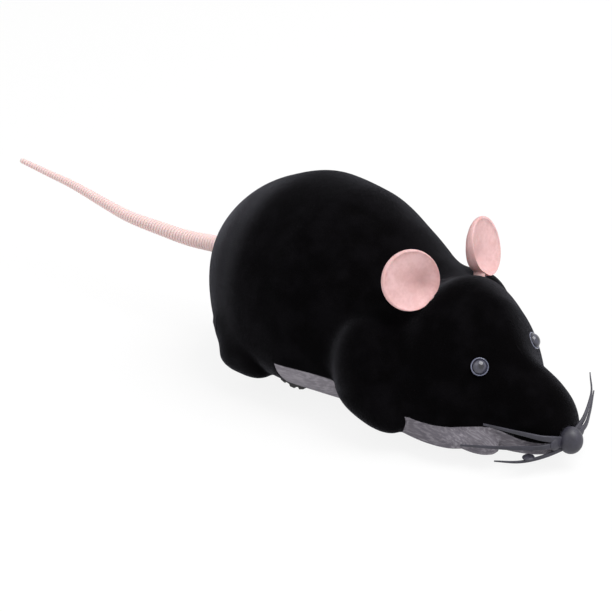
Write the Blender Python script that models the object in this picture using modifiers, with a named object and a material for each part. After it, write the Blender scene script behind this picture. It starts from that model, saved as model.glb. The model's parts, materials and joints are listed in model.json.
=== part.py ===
"""A robotic mouse cat toy at its real size: flocked shells, rubber ears and tail, and the drive inside.

Metres, +Z up. The mouse faces +X and stands on the floor at Z 0. Pieces are placed by their station,
which is the distance from the rump towards the nose, and one empty carries them all.
"""

import math

import bmesh
import bpy
import numpy as np
from mathutils import Euler, Matrix, Vector

MM = 0.001
TURN = 2 * math.pi

# Body
BODY_LENGTH = 121.0 * MM
BODY_HALF_WIDTH = 28.6 * MM
BODY_HEIGHT = 53.6 * MM
LOWER_FULLNESS = 2.6
BODY_SIDES = 28
BODY_RINGS = 26
WALL = 1.8 * MM
# Shares of the length, half width and height: station, half width, top, bottom, widest level; then the upper fullness
SECTION_SHARES = (
    (0.000, 0.070, 0.422, 0.328, 0.403, 2.15),
    (0.025, 0.367, 0.627, 0.179, 0.403, 2.15),
    (0.083, 0.647, 0.795, 0.104, 0.366, 2.15),
    (0.182, 0.892, 0.940, 0.071, 0.328, 2.15),
    (0.281, 1.000, 1.000, 0.071, 0.328, 2.15),
    (0.380, 0.997, 0.978, 0.071, 0.310, 2.15),
    (0.479, 0.920, 0.875, 0.071, 0.291, 2.15),
    (0.579, 0.822, 0.731, 0.071, 0.272, 2.15),
    (0.653, 0.762, 0.683, 0.067, 0.235, 2.00),
    (0.727, 0.730, 0.738, 0.030, 0.198, 1.95),
    (0.802, 0.608, 0.695, 0.019, 0.170, 1.60),
    (0.876, 0.366, 0.480, 0.024, 0.160, 1.54),
    (0.942, 0.305, 0.364, 0.049, 0.151, 1.85),
    (1.000, 0.070, 0.179, 0.104, 0.132, 2.00),
)
# Where the shells part, as shares of the length and height
SEAM_SHARES = (
    (-0.100, -0.050),
    (0.102, -0.050),
    (0.134, 0.160),
    (0.198, 0.176),
    (0.298, 0.244),
    (0.380, 0.276),
    (0.479, 0.276),
    (0.562, 0.263),
    (0.645, 0.228),
    (0.711, 0.200),
    (0.785, 0.177),
    (0.868, 0.185),
    (1.000, 0.160),
    (1.100, 0.157),
)
SEAM_STEPS = 30

# Clearances
GAP = 0.3 * MM
OVERRUN = 1.0 * MM
TAIL_PLAY = 0.5 * MM
BARREL_PLAY = 0.3 * MM
GEAR_PLAY = 0.12 * MM
SLOT_PLAY = 0.5 * MM
CUT_REACH = 80.0 * MM
WELD = 0.001 * MM

# Legs and feet: station, spread and height as shares, then the radii
FOOT_SIDES = 16
FOOT_RINGS = 10
THIGH_SHARES = (0.221, 0.640, 0.309)
THIGH_RADII = (11.5 * MM, 9.5 * MM, 11.0 * MM)
REAR_FOOT_SHARES = (0.267, 0.846, 0.210)
REAR_FOOT_RADII = (8.4 * MM, 5.0 * MM, 5.3 * MM)
FRONT_LEG_SHARES = (0.604, 0.657, 0.345)
FRONT_LEG_RADII = (10.0 * MM, 8.0 * MM, 13.0 * MM)
FRONT_FOOT_SHARES = (0.618, 0.741, 0.200)
FRONT_FOOT_RADII = (10.5 * MM, 5.5 * MM, 5.2 * MM)
FRONT_FOOT_PITCH = math.radians(18)
PAW_SHARES = (0.825, 0.455, 0.111)
PAW_RADII = (7.0 * MM, 3.0 * MM, 2.6 * MM)

# Face
EYE_SHARES = (0.840, 0.444)
EYE_RADIUS = 2.25 * MM
EYE_DOME = 1.5 * MM
EYE_SEAT_DEPTH = 0.8 * MM
EYE_PEG_RADIUS = 0.9 * MM
EYE_PEG_LENGTH = 3.2 * MM
EYE_STEPS = 16
EAR_SHARES = (0.698, 0.287)
EAR_RADIUS = 7.5 * MM
EAR_DEPTH = 2.6 * MM
EAR_THICKNESS = 0.9 * MM
EAR_SET_BACK = 1.7 * MM
EAR_SPLAY = 5.0 * MM
EAR_RISE = 6.0 * MM
EAR_TURN = math.radians(21)
EAR_TILT = math.radians(14)
EAR_STEPS = 20
EAR_STEM_RADIUS = 1.4 * MM
EAR_STEM_OFFSET = 5.2 * MM
EAR_STEM_SET_BACK = 3.0 * MM
EAR_BARB_RADIUS = 2.2 * MM
EAR_BARB_LENGTH = 1.2 * MM
EAR_BARB_DEPTH = 1.0 * MM
NOSE_RADII = (3.3 * MM, 3.4 * MM, 3.6 * MM)
NOSE_OVERHANG = 1.0 * MM
NOSE_HEIGHT = 6.8 * MM
NOSE_PEG_RADIUS = 1.4 * MM
NOSE_PEG_LENGTH = 8.0 * MM
NOSE_BARB_RADIUS = 2.0 * MM
NOSE_BARB_LENGTH = 1.5 * MM
WHISKER_LENGTH = 22.0 * MM
WHISKER_ROOT_RADIUS = 0.7 * MM
WHISKER_TIP_SHARE = 0.3
WHISKER_STEPS = 7
# Side, length share, height of the root as a share of the nose, then degrees: backward at root and tip, lift
WHISKER_SHARES = (
    (-1, 0.95, 0.35, 12, 80, 10),
    (-1, 1.10, 0.00, 8, 84, -2),
    (-1, 0.85, -0.35, 5, 72, -10),
    (1, 0.90, 0.35, 5, 48, 20),
    (1, 0.90, 0.00, 5, 56, 10),
    (1, 0.80, -0.35, 5, 64, -6),
)

# Tail
TAIL_LENGTH = 96.0 * MM
TAIL_ROOT_RADIUS = 2.6 * MM
TAIL_TIP_RADIUS = 0.8 * MM
TAIL_ROOT_HEIGHT = 24.4 * MM
TAIL_PIVOT_DEPTH = 1.0 * MM
TAIL_PLUG_LENGTH = 5.0 * MM
TAIL_BULB_RADIUS = 3.6 * MM
TAIL_STEPS = 40
# Backward, sideways and upward from the root, as shares of the tail's length
TAIL_ROUTE_SHARES = (
    (0.000, 0.000, 0.000),
    (0.110, -0.005, -0.011),
    (0.210, -0.016, -0.017),
    (0.330, -0.033, -0.010),
    (0.465, -0.046, -0.002),
    (0.610, -0.050, 0.018),
    (0.725, -0.050, 0.033),
    (0.875, -0.058, 0.049),
    (1.000, -0.073, 0.068),
)

# Drive wheels
TYRE_RADIUS = 12.0 * MM
TYRE_WIDTH = 5.0 * MM
TREAD_DEPTH = 0.6 * MM
TREAD_COUNT = 20
TREAD_TIP_SHARE = 0.22
TREAD_ROOT_SHARE = 0.32
HUB_RADIUS = 8.9 * MM
HUB_RIM = 1.2 * MM
HUB_WEB = 1.6 * MM
HUB_BOSS_RADIUS = 3.0 * MM
HUB_STEPS = 20
AXLE_RADIUS = 1.0 * MM
AXLE_STATION = 38.0 * MM
WHEEL_GAP = 1.3 * MM

# Gear train, from the motor to the axle
GEAR_MODULE = 0.4 * MM
TOOTH_ADDENDUM = 0.4 * MM
TOOTH_DEDENDUM = 0.5 * MM
TOOTH_TIP_SHARE = 0.11
TOOTH_ROOT_SHARE = 0.28
PINION_TEETH = 8
FIRST_WHEEL_TEETH = 28
FIRST_PINION_TEETH = 10
SECOND_WHEEL_TEETH = 26
SECOND_PINION_TEETH = 10
AXLE_GEAR_TEETH = 25
GEAR_WIDTH = 1.8 * MM
LAYER_GAP = 0.7 * MM
PIN_RADIUS = 0.75 * MM
AXLE_TO_SECOND = math.radians(128)
SECOND_TO_FIRST = math.radians(150)
FIRST_TO_MOTOR = math.radians(185)

# Gearbox
GEARBOX_HALF_WIDTH = 8.2 * MM
PLATE_THICKNESS = 1.2 * MM
PLATE_MARGIN = 6.5 * MM
PLATE_TOP_MARGIN = 9.0 * MM
PLATE_CHAMFER = 2.5 * MM
PILLAR_RADIUS = 1.8 * MM
TAB_THICKNESS = 1.4 * MM
TAB_LENGTH = 7.0 * MM
TAB_HEIGHT = 9.0 * MM
SHELF_THICKNESS = 1.2 * MM

# Motor
MOTOR_HALF_WIDTH = 4.5 * MM
MOTOR_RADIUS = 5.5 * MM
MOTOR_LENGTH = 10.6 * MM
MOTOR_FRONT = 4.0 * MM
MOTOR_SHAFT_RADIUS = 0.5 * MM
MOTOR_SHAFT_INSERT = 2.5 * MM
MOTOR_BEARING_RADIUS = 2.0 * MM
MOTOR_BEARING_LENGTH = 0.7 * MM
MOTOR_ARC_STEPS = 8
TERMINAL_WIDTH = 1.6 * MM
TERMINAL_THICKNESS = 0.4 * MM
TERMINAL_SPREAD = 2.2 * MM
TERMINAL_RISE = 0.5 * MM

# Batteries and their compartment
CELL_RADIUS = 5.8 * MM
CELL_LENGTH = 5.4 * MM
CELL_STEP_RADIUS = 4.8 * MM
CELL_STEP = 0.5 * MM
CELL_COUNT = 3
CELL_SIDES = 20
CONTACT_THICKNESS = 0.3 * MM
CONTACT_HALF_WIDTH = 4.5 * MM
CONTACT_TAB_HALF_WIDTH = 1.2 * MM
SPRING_LENGTH = 2.0 * MM
SPRING_WIRE_RADIUS = 0.25 * MM
SPRING_RADIUS = 3.4 * MM
SPRING_TIP_SHARE = 0.6
SPRING_TURNS = 2.5
SPRING_POINTS_A_TURN = 12
BOX_WALL = 1.2 * MM
SWITCH_BAY = 7.2 * MM
DOOR_THICKNESS = 1.6 * MM
DOOR_PROUD = 0.2 * MM
DOOR_TONGUE = 5.8 * MM
DOOR_SCREW_INSET = 3.2 * MM
DOOR_SCREW_REACH = 1.2 * MM
DOOR_NUB_RADIUS = 0.45 * MM
DOOR_NUB_LENGTH = 1.0 * MM
LEDGE_THICKNESS = 1.5 * MM

# Switch
SWITCH_LENGTH = 10.0 * MM
SWITCH_WIDTH = 5.0 * MM
SWITCH_HEIGHT = 4.0 * MM
SWITCH_TRAVEL = 2.0 * MM
SLIDER_LENGTH = 2.4 * MM
SLIDER_WIDTH = 1.8 * MM
SLIDER_PROUD = 0.9 * MM
SLIDER_FLANGE = 0.5 * MM
SLIDER_FLANGE_THICKNESS = 0.9 * MM

# Castor
CASTOR_RADIUS = 4.5 * MM
CASTOR_WIDTH = 3.4 * MM
CASTOR_STEPS = 20
CASTOR_TRAIL = 2.5 * MM
CASTOR_AXLE_RADIUS = 0.6 * MM
CHEEK_THICKNESS = 1.2 * MM
CHEEK_HALF_LENGTH = 1.8 * MM
CROWN_RADIUS = 4.4 * MM
CROWN_THICKNESS = 1.4 * MM
SWIVEL_RADIUS = 1.6 * MM
WELL_WALL = 1.2 * MM
WELL_ROOF = 1.5 * MM

# Circuit board
BOARD_LENGTH = 28.0 * MM
BOARD_HALF_WIDTH = 9.5 * MM
BOARD_THICKNESS = 1.2 * MM
BOARD_POST_RADIUS = 2.0 * MM
BOARD_POST_HEIGHT = 2.1 * MM
CHIP_SIZE = (8.0 * MM, 5.0 * MM, 1.6 * MM)
CHIP_LEG_COUNT = 6
CHIP_LEG_LENGTH = 1.0 * MM
CHIP_LEG_WIDTH = 0.45 * MM
CHIP_LEG_THICKNESS = 0.25 * MM
CAPACITOR_RADIUS = 2.5 * MM
CAPACITOR_HEIGHT = 8.0 * MM
CAPACITOR_GROOVE = 0.3 * MM
COIL_RADIUS = 2.6 * MM
COIL_LENGTH = 6.0 * MM
COIL_FLANGE = 0.8 * MM
COIL_CORE_SHARE = 0.7
SMALL_STEPS = 16

# Screws
SCREW_STEPS = 12
SMALL_SHANK_RADIUS = 0.8 * MM
SMALL_HEAD_RADIUS = 1.6 * MM
SMALL_HEAD_HEIGHT = 0.8 * MM
SHELL_SHANK_RADIUS = 1.2 * MM
SHELL_HEAD_RADIUS = 2.2 * MM
SHELL_HEAD_HEIGHT = 1.4 * MM
SHELL_SCREW_GRIP = 8.0 * MM
DRIVE_SLOT_SHARE = 0.22
BOSS_RADIUS = 3.9 * MM
POST_RADIUS = 3.0 * MM
JOINT_HEIGHT = 11.5 * MM
HEAD_SEAT_HEIGHT = 7.2 * MM
POST_SPREAD = 14.0 * MM
POST_MARGIN = 1.0 * MM

# Wires
WIRE_RADIUS = 0.5 * MM
WIRE_RISE = 6.5 * MM
WIRE_STEPS = 14

# Worked out from the values above
AXLE_HEIGHT = TYRE_RADIUS * math.cos(TREAD_TIP_SHARE * TURN / TREAD_COUNT)
FLOOR_LEVEL = 0.071 * BODY_HEIGHT
INNER_FLOOR = FLOOR_LEVEL + WALL
NOSE_STATION = BODY_LENGTH + NOSE_OVERHANG
TAIL_END = TAIL_LENGTH + TAIL_TIP_RADIUS
FRONT_END = NOSE_STATION + NOSE_RADII[0]
FRAME_SHIFT = (TAIL_END - FRONT_END) / 2
BOX_REAR = AXLE_STATION + TYRE_RADIUS + SWITCH_BAY
CELLS_START = BOX_REAR + BOX_WALL + GAP + CONTACT_THICKNESS + SPRING_LENGTH + GAP
CELL_PITCH = CELL_LENGTH + GAP
CELLS_END = CELLS_START + CELL_COUNT * CELL_PITCH - GAP
BOX_INNER_FRONT = CELLS_END + GAP + CONTACT_THICKNESS + GAP
BOX_FRONT = BOX_INNER_FRONT + BOX_WALL
DOOR_BOTTOM = FLOOR_LEVEL - DOOR_PROUD
DOOR_TOP = DOOR_BOTTOM + DOOR_THICKNESS
LEDGE_BOTTOM = DOOR_TOP + GAP
CELL_HEIGHT = LEDGE_BOTTOM + CELL_RADIUS
BOX_HALF_WIDTH = CELL_RADIUS + GAP
BOX_CEILING = CELL_HEIGHT + CELL_RADIUS + GAP
BOX_TOP = BOX_CEILING + BOX_WALL
BOX_MIDDLE = (BOX_REAR + BOX_FRONT) / 2
BOARD_BOTTOM = BOX_TOP + BOARD_POST_HEIGHT + GAP
BOARD_TOP = BOARD_BOTTOM + BOARD_THICKNESS
CASTOR_SWEEP = math.hypot(CASTOR_TRAIL + CASTOR_RADIUS, CASTOR_WIDTH / 2)
WELL_RADIUS = CASTOR_SWEEP + 2 * GAP
CASTOR_STATION = BOX_FRONT + WELL_RADIUS + WELL_WALL / 2
CROWN_BOTTOM = 2 * CASTOR_RADIUS + 2 * GAP
CROWN_TOP = CROWN_BOTTOM + CROWN_THICKNESS
WELL_CEILING = CROWN_TOP + GAP
WELL_TOP = WELL_CEILING + WELL_ROOF
REAR_POST_STATION = AXLE_STATION - TYRE_RADIUS - BOSS_RADIUS - POST_MARGIN
FRONT_POST_STATION = CASTOR_STATION + WELL_RADIUS + WELL_WALL + BOSS_RADIUS + GAP
WHEEL_INNER = GEARBOX_HALF_WIDTH + PLATE_THICKNESS + WHEEL_GAP
WHEEL_MIDDLE = WHEEL_INNER + TYRE_WIDTH / 2
SWITCH_STATION = BOX_REAR - GAP - SWITCH_WIDTH / 2

AXLE_CENTRE = (AXLE_STATION, AXLE_HEIGHT)


def mesh_distance(first_teeth, second_teeth):
    """Distance between the centres of two gears that mesh."""
    return GEAR_MODULE * (first_teeth + second_teeth) / 2 + GEAR_PLAY


def step_from(centre, angle, distance):
    """A point at a distance from another, in the side view, at an angle up from forward."""
    return (centre[0] + distance * math.cos(angle), centre[1] + distance * math.sin(angle))


SECOND_CENTRE = step_from(AXLE_CENTRE, AXLE_TO_SECOND, mesh_distance(SECOND_PINION_TEETH, AXLE_GEAR_TEETH))
FIRST_CENTRE = step_from(SECOND_CENTRE, SECOND_TO_FIRST, mesh_distance(FIRST_PINION_TEETH, SECOND_WHEEL_TEETH))
MOTOR_CENTRE = step_from(FIRST_CENTRE, FIRST_TO_MOTOR, mesh_distance(PINION_TEETH, FIRST_WHEEL_TEETH))
LAYER_ONE = GEARBOX_HALF_WIDTH - LAYER_GAP - GEAR_WIDTH / 2
LAYER_TWO = LAYER_ONE - GEAR_WIDTH - LAYER_GAP
LAYER_THREE = LAYER_TWO - GEAR_WIDTH - LAYER_GAP


# Scene and materials

FINISHES = {
    "black_flock": ((0.012, 0.012, 0.014), 0.95, 0.0),
    "grey_flock": ((0.30, 0.31, 0.36), 0.90, 0.0),
    "pink_rubber": ((0.90, 0.66, 0.63), 0.55, 0.0),
    "slate_rubber": ((0.17, 0.18, 0.22), 0.40, 0.0),
    "clear_plastic": ((0.55, 0.56, 0.60), 0.10, 0.0),
    "black_plastic": ((0.03, 0.03, 0.03), 0.45, 0.0),
    "black_rubber": ((0.02, 0.02, 0.02), 0.80, 0.0),
    "white_plastic": ((0.80, 0.80, 0.77), 0.40, 0.0),
    "ivory_plastic": ((0.72, 0.66, 0.50), 0.40, 0.0),
    "steel": ((0.60, 0.60, 0.62), 0.30, 1.0),
    "brass": ((0.72, 0.52, 0.20), 0.30, 1.0),
    "copper": ((0.70, 0.34, 0.18), 0.35, 1.0),
    "green_board": ((0.02, 0.20, 0.08), 0.45, 0.0),
    "red_wire": ((0.55, 0.03, 0.03), 0.45, 0.0),
    "black_wire": ((0.03, 0.03, 0.03), 0.45, 0.0),
}

for leftover in list(bpy.data.objects):
    bpy.data.objects.remove(leftover)

PARTS = bpy.data.collections.new("robotic_mouse_cat_toy")
CUTTERS = bpy.data.collections.new("cutters")
for group in (PARTS, CUTTERS):
    bpy.context.scene.collection.children.link(group)

CARRIER = bpy.data.objects.new("mouse_frame", None)
CARRIER.location = (FRAME_SHIFT, 0, 0)
PARTS.objects.link(CARRIER)


def finish_of(name):
    """The material of that name, made the first time it is asked for."""
    found = bpy.data.materials.get(name)
    if found is None:
        colour, roughness, metallic = FINISHES[name]
        found = bpy.data.materials.new(name)
        found.use_nodes = True
        shader = found.node_tree.nodes["Principled BSDF"]
        shader.inputs["Base Color"].default_value = (*colour, 1)
        shader.inputs["Roughness"].default_value = roughness
        shader.inputs["Metallic"].default_value = metallic
    return found


def place(name, mesh, at=(0, 0, 0), turn=(0, 0, 0), finish=None):
    """Makes an object from a mesh: a part with its finish, or a cutter when it has none."""
    made = bpy.data.objects.new(name, mesh)
    (PARTS if finish else CUTTERS).objects.link(made)
    made.parent = CARRIER
    made.location = at
    made.rotation_euler = turn
    if finish:
        mesh.materials.clear()
        mesh.materials.append(finish_of(finish))
    else:
        made.hide_render = True
        made.display_type = "WIRE"
    return made


def boolean(target, operation, *tools):
    """Adds a Boolean step. Several tools go in as a collection, so that they are worked out together."""
    label = f"{operation.lower()}_{tools[0].name}"
    step = target.modifiers.new(label, "BOOLEAN")
    step.operation = operation
    if len(tools) == 1:
        step.object = tools[0]
        return target
    together = bpy.data.collections.new(f"{target.name}_{label}")
    CUTTERS.children.link(together)
    for tool in tools:
        together.objects.link(tool)
    step.operand_type = "COLLECTION"
    step.collection = together
    return target


def cut(target, *tools):
    return boolean(target, "DIFFERENCE", *tools)


def join(target, *tools):
    return boolean(target, "UNION", *tools)


def keep_inside(target, tool):
    return boolean(target, "INTERSECT", tool)


# What each shell gains and loses; finish_shell works it out once every piece has had its say
SHELL_PIECES = {}
SHELL_OPENINGS = {}


def add_to(shell, *pieces):
    SHELL_PIECES.setdefault(shell.name, []).extend(pieces)


def open_in(shell, *openings):
    SHELL_OPENINGS.setdefault(shell.name, []).extend(openings)


def finish_shell(shell):
    join(shell, *SHELL_PIECES[shell.name])
    cut(shell, *SHELL_OPENINGS[shell.name])


# Shapes

def mesh_of(shape, name):
    mesh = bpy.data.meshes.new(name)
    shape.to_mesh(mesh)
    shape.free()
    return mesh


def box(name, low, high, finish=None, pivot=(0, 0, 0)):
    """A block between two corners, with its origin at the pivot."""
    low, high, pivot = Vector(low), Vector(high), Vector(pivot)
    shape = bmesh.new()
    bmesh.ops.create_cube(shape, size=1)
    for vertex in shape.verts:
        share = vertex.co + Vector((0.5, 0.5, 0.5))
        vertex.co = Vector(l + s * (h - l) for l, s, h in zip(low, share, high)) - pivot
    return place(name, mesh_of(shape, name), pivot, finish=finish)


def rod(name, start, end, radius, finish=None, steps=SMALL_STEPS, end_radius=None):
    """A cylinder or cone from one point to another, with its origin at its middle."""
    start, end = Vector(start), Vector(end)
    shape = bmesh.new()
    bmesh.ops.create_cone(
        shape,
        cap_ends=True,
        segments=steps,
        radius1=radius,
        radius2=radius if end_radius is None else end_radius,
        depth=(end - start).length,
    )
    mesh = mesh_of(shape, name)
    mesh.shade_smooth()
    mesh.set_sharp_from_angle(angle=math.radians(40))
    turn = (end - start).to_track_quat("Z", "Y").to_euler()
    return place(name, mesh, (start + end) / 2, turn, finish)


def across(name, centre, low, high, radius, finish=None, steps=SMALL_STEPS):
    """A cylinder from side to side, with its origin on its axis in the middle plane."""
    shape = bmesh.new()
    bmesh.ops.create_cone(
        shape, cap_ends=True, segments=steps, radius1=radius, radius2=radius, depth=high - low
    )
    bmesh.ops.translate(shape, verts=shape.verts, vec=(0, 0, (low + high) / 2))
    bmesh.ops.rotate(shape, verts=shape.verts, matrix=Matrix.Rotation(-TURN / 4, 3, "X"))
    mesh = mesh_of(shape, name)
    mesh.shade_smooth()
    mesh.set_sharp_from_angle(angle=math.radians(40))
    return place(name, mesh, (centre[0], 0, centre[1]), finish=finish)


def turned(name, profile, at, axis, finish=None, steps=SMALL_STEPS, closed=False):
    """A profile of (radius, height) points, spun round an axis through its origin."""
    mesh = bpy.data.meshes.new(name)
    count = len(profile)
    edges = [(index, index + 1) for index in range(count - 1)]
    if closed:
        edges.append((count - 1, 0))
    mesh.from_pydata([(radius, 0, height) for radius, height in profile], edges, [])
    made = place(name, mesh, at, Vector(axis).to_track_quat("Z", "X").to_euler(), finish)
    spin = made.modifiers.new("spin", "SCREW")
    spin.steps = spin.render_steps = steps
    spin.use_merge_vertices = True
    spin.merge_threshold = WELD
    spin.use_smooth_shade = False
    return made


def ball(name, at, radii, finish=None, turn=(0, 0, 0), sides=FOOT_SIDES, rings=FOOT_RINGS):
    """An ellipsoid."""
    shape = bmesh.new()
    bmesh.ops.create_uvsphere(shape, u_segments=sides, v_segments=rings, radius=1)
    bmesh.ops.scale(shape, verts=shape.verts, vec=radii)
    mesh = mesh_of(shape, name)
    mesh.shade_smooth()
    return place(name, mesh, at, turn, finish)


def mesh_from_curve(curve):
    """The closed mesh of a curve, with its caps welded to its sides."""
    holder = bpy.data.objects.new(curve.name, curve)
    bpy.context.scene.collection.objects.link(holder)
    bpy.context.view_layer.update()
    graph = bpy.context.evaluated_depsgraph_get()
    mesh = bpy.data.meshes.new_from_object(holder.evaluated_get(graph))
    bpy.data.objects.remove(holder)
    shape = bmesh.new()
    shape.from_mesh(mesh)
    bmesh.ops.remove_doubles(shape, verts=shape.verts, dist=WELD)
    bmesh.ops.triangulate(shape, faces=shape.faces)
    shape.to_mesh(mesh)
    shape.free()
    return mesh


def slab(name, outlines, low, high, centre=(0, 0), finish=None):
    """Flat outlines in the side view, given a thickness from side to side; inner outlines are holes."""
    curve = bpy.data.curves.new(name, "CURVE")
    curve.dimensions = "2D"
    curve.fill_mode = "BOTH"
    curve.extrude = (high - low) / 2
    for outline in outlines:
        line = curve.splines.new("POLY")
        line.points.add(len(outline) - 1)
        for point, (forward, up) in zip(line.points, outline):
            point.co = (forward, up, 0, 1)
        line.use_cyclic_u = True
    mesh = mesh_from_curve(curve)
    shape = bmesh.new()
    shape.from_mesh(mesh)
    bmesh.ops.rotate(shape, verts=shape.verts, matrix=Matrix.Rotation(TURN / 4, 3, "X"))
    bmesh.ops.translate(shape, verts=shape.verts, vec=(0, (low + high) / 2, 0))
    shape.to_mesh(mesh)
    shape.free()
    return place(name, mesh, (centre[0], 0, centre[1]), finish=finish)


def tube(name, points, radii, finish=None, at=(0, 0, 0), sides=1):
    """A round bar along points, with a radius at each."""
    curve = bpy.data.curves.new(name, "CURVE")
    curve.dimensions = "3D"
    curve.bevel_depth = 1
    curve.bevel_resolution = sides
    curve.use_fill_caps = True
    line = curve.splines.new("POLY")
    line.points.add(len(points) - 1)
    for point, place_of, radius in zip(line.points, points, radii):
        point.co = (*place_of, 1)
        point.radius = radius
    mesh = mesh_from_curve(curve)
    mesh.shade_smooth()
    return place(name, mesh, at, finish=finish)


def ring_points(radius, steps=SMALL_STEPS):
    return [(radius * math.cos(TURN * k / steps), radius * math.sin(TURN * k / steps)) for k in range(steps)]


# Body surface

def smooth_curve(stations, values):
    """A curve through the values that never overshoots them."""
    x, y = np.array(stations), np.array(values)
    step = np.diff(x)
    rise = np.diff(y) / step
    slope = np.concatenate([rise[:1], np.zeros(len(x) - 2), rise[-1:]])
    for k in range(1, len(x) - 1):
        if rise[k - 1] * rise[k] > 0:
            before, after = 2 * step[k] + step[k - 1], step[k] + 2 * step[k - 1]
            slope[k] = (before + after) / (before / rise[k - 1] + after / rise[k])

    def value(at):
        k = int(np.clip(np.searchsorted(x, at) - 1, 0, len(step) - 1))
        t = (at - x[k]) / step[k]
        start = (1 + 2 * t) * (1 - t) ** 2 * y[k] + t * (1 - t) ** 2 * step[k] * slope[k]
        end = t**2 * (3 - 2 * t) * y[k + 1] - t**2 * (1 - t) * step[k] * slope[k + 1]
        return float(start + end)

    return value


STATIONS = [row[0] for row in SECTION_SHARES]
HALF_WIDTH, TOP, BOTTOM, LEVEL, FULLNESS = (
    smooth_curve(STATIONS, [row[column] for row in SECTION_SHARES]) for column in range(1, 6)
)
SEAM = smooth_curve([row[0] for row in SEAM_SHARES], [row[1] for row in SEAM_SHARES])


def skin_point(share, angle):
    """A point of the body's outer skin: the angle runs from the left side, at 0, over the back."""
    side, up = math.cos(angle), math.sin(angle)
    fullness = FULLNESS(share) if up >= 0 else LOWER_FULLNESS
    height = TOP(share) - LEVEL(share) if up >= 0 else LEVEL(share) - BOTTOM(share)
    out = math.copysign(abs(side) ** (2 / fullness), side)
    lift = math.copysign(abs(up) ** (2 / fullness), up)
    return Vector(
        (
            share * BODY_LENGTH,
            HALF_WIDTH(share) * BODY_HALF_WIDTH * out,
            (LEVEL(share) + height * lift) * BODY_HEIGHT,
        )
    )


def skin_normal(share, angle):
    """The outward direction of the skin there."""
    tiny = 0.002
    along = skin_point(share + tiny, angle) - skin_point(share - tiny, angle)
    round_ = skin_point(share, angle + tiny) - skin_point(share, angle - tiny)
    return round_.cross(along).normalized()


def angle_at_height(share, height):
    """The angle of the skin's left side at a height above its widest level."""
    lift = (height / BODY_HEIGHT - LEVEL(share)) / (TOP(share) - LEVEL(share))
    return math.asin(min(1, lift) ** (FULLNESS(share) / 2))


def angle_at_spread(share, spread):
    """The angle of the skin's upper left side at a distance from the middle plane."""
    out = spread / (HALF_WIDTH(share) * BODY_HALF_WIDTH)
    return math.acos(min(1, out) ** (FULLNESS(share) / 2))


def mirrored(point, side):
    return Vector((point[0], point[1] * side, point[2]))


def body_solid(name, grow=0.0, finish=None):
    """The whole body as a closed form, moved in or out along its skin."""
    shape = bmesh.new()
    bmesh.ops.create_uvsphere(shape, u_segments=BODY_SIDES, v_segments=BODY_RINGS, radius=1)
    for vertex in shape.verts:
        even = math.acos(max(-1, min(1, -vertex.co.z))) / math.pi
        share = (even + (1 + vertex.co.z) / 2) / 2
        if abs(vertex.co.z) > 1 - WELD:
            share = round(share)
            vertex.co = (share * BODY_LENGTH, 0, LEVEL(share) * BODY_HEIGHT)
        else:
            vertex.co = skin_point(share, math.atan2(vertex.co.y, vertex.co.x))
    shape.normal_update()
    if grow:
        for vertex, outward in [(v, v.normal.copy()) for v in shape.verts]:
            vertex.co += outward * grow
    bmesh.ops.triangulate(shape, faces=shape.faces)
    mesh = mesh_of(shape, name)
    mesh.shade_smooth()
    return place(name, mesh, finish=finish)


def below_seam(name, raised):
    """All that lies under the line where the shells part, raised or lowered a little."""
    first, last = SEAM_SHARES[0][0], SEAM_SHARES[-1][0]
    line = [first + (last - first) * k / SEAM_STEPS for k in range(SEAM_STEPS + 1)]
    edge = [(share * BODY_LENGTH, SEAM(share) * BODY_HEIGHT + raised) for share in line]
    under = -BODY_HEIGHT
    outline = edge + [(edge[-1][0], under), (edge[0][0], under)]
    reach = BODY_HALF_WIDTH + CUT_REACH
    return slab(name, [outline], -reach, reach)


# Small pieces that repeat

def screw(name, seat, direction, length, shank, head, head_height, finish="steel"):
    """A pan-headed screw: its head sits at the seat and its shank runs along the direction."""
    down = Vector(direction).normalized()
    crown = head * 0.7
    profile = [
        (0, head_height),
        (crown, head_height),
        (head, head_height * 0.5),
        (head, 0),
        (shank, 0),
        (shank, -length + shank),
        (0, -length),
    ]
    made = turned(name, profile, seat, -down, finish, steps=SCREW_STEPS)
    slot_half = head * DRIVE_SLOT_SHARE
    slot_reach = head + OVERRUN
    shape = bmesh.new()
    bmesh.ops.create_cube(shape, size=1)
    for vertex in shape.verts:
        vertex.co.x *= 2 * slot_reach
        vertex.co.y *= 2 * slot_half
        vertex.co.z = head_height * (0.5 if vertex.co.z < 0 else 1.5)
    slot = place(name + "_slot", mesh_of(shape, name + "_slot"), seat, made.rotation_euler)
    return cut(made, slot)


def gear_outline(teeth, phase):
    """A gear's outline with one tooth pointing along the phase angle."""
    pitch_radius = GEAR_MODULE * teeth / 2
    root, tip = pitch_radius - TOOTH_DEDENDUM, pitch_radius + TOOTH_ADDENDUM
    flank = (
        (root, -TOOTH_ROOT_SHARE),
        (tip, -TOOTH_TIP_SHARE),
        (tip, TOOTH_TIP_SHARE),
        (root, TOOTH_ROOT_SHARE),
    )
    points = []
    for tooth in range(teeth):
        for radius, share in flank:
            angle = phase + (tooth + share) * TURN / teeth
            points.append((radius * math.cos(angle), radius * math.sin(angle)))
    return points


def driven_phase(teeth, towards_driver):
    """The phase that sets a gap, not a tooth, on the line to the gear that drives it."""
    return towards_driver + TURN / teeth / 2


# Shells

def lobe(name, side, shares, radii, pitch=0):
    """One egg-shaped form of a leg, foot or paw."""
    along, spread, height = shares
    at = (along * BODY_LENGTH, side * spread * BODY_HALF_WIDTH, height * BODY_HEIGHT)
    return ball(name, at, radii, turn=(0, pitch, 0))


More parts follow.
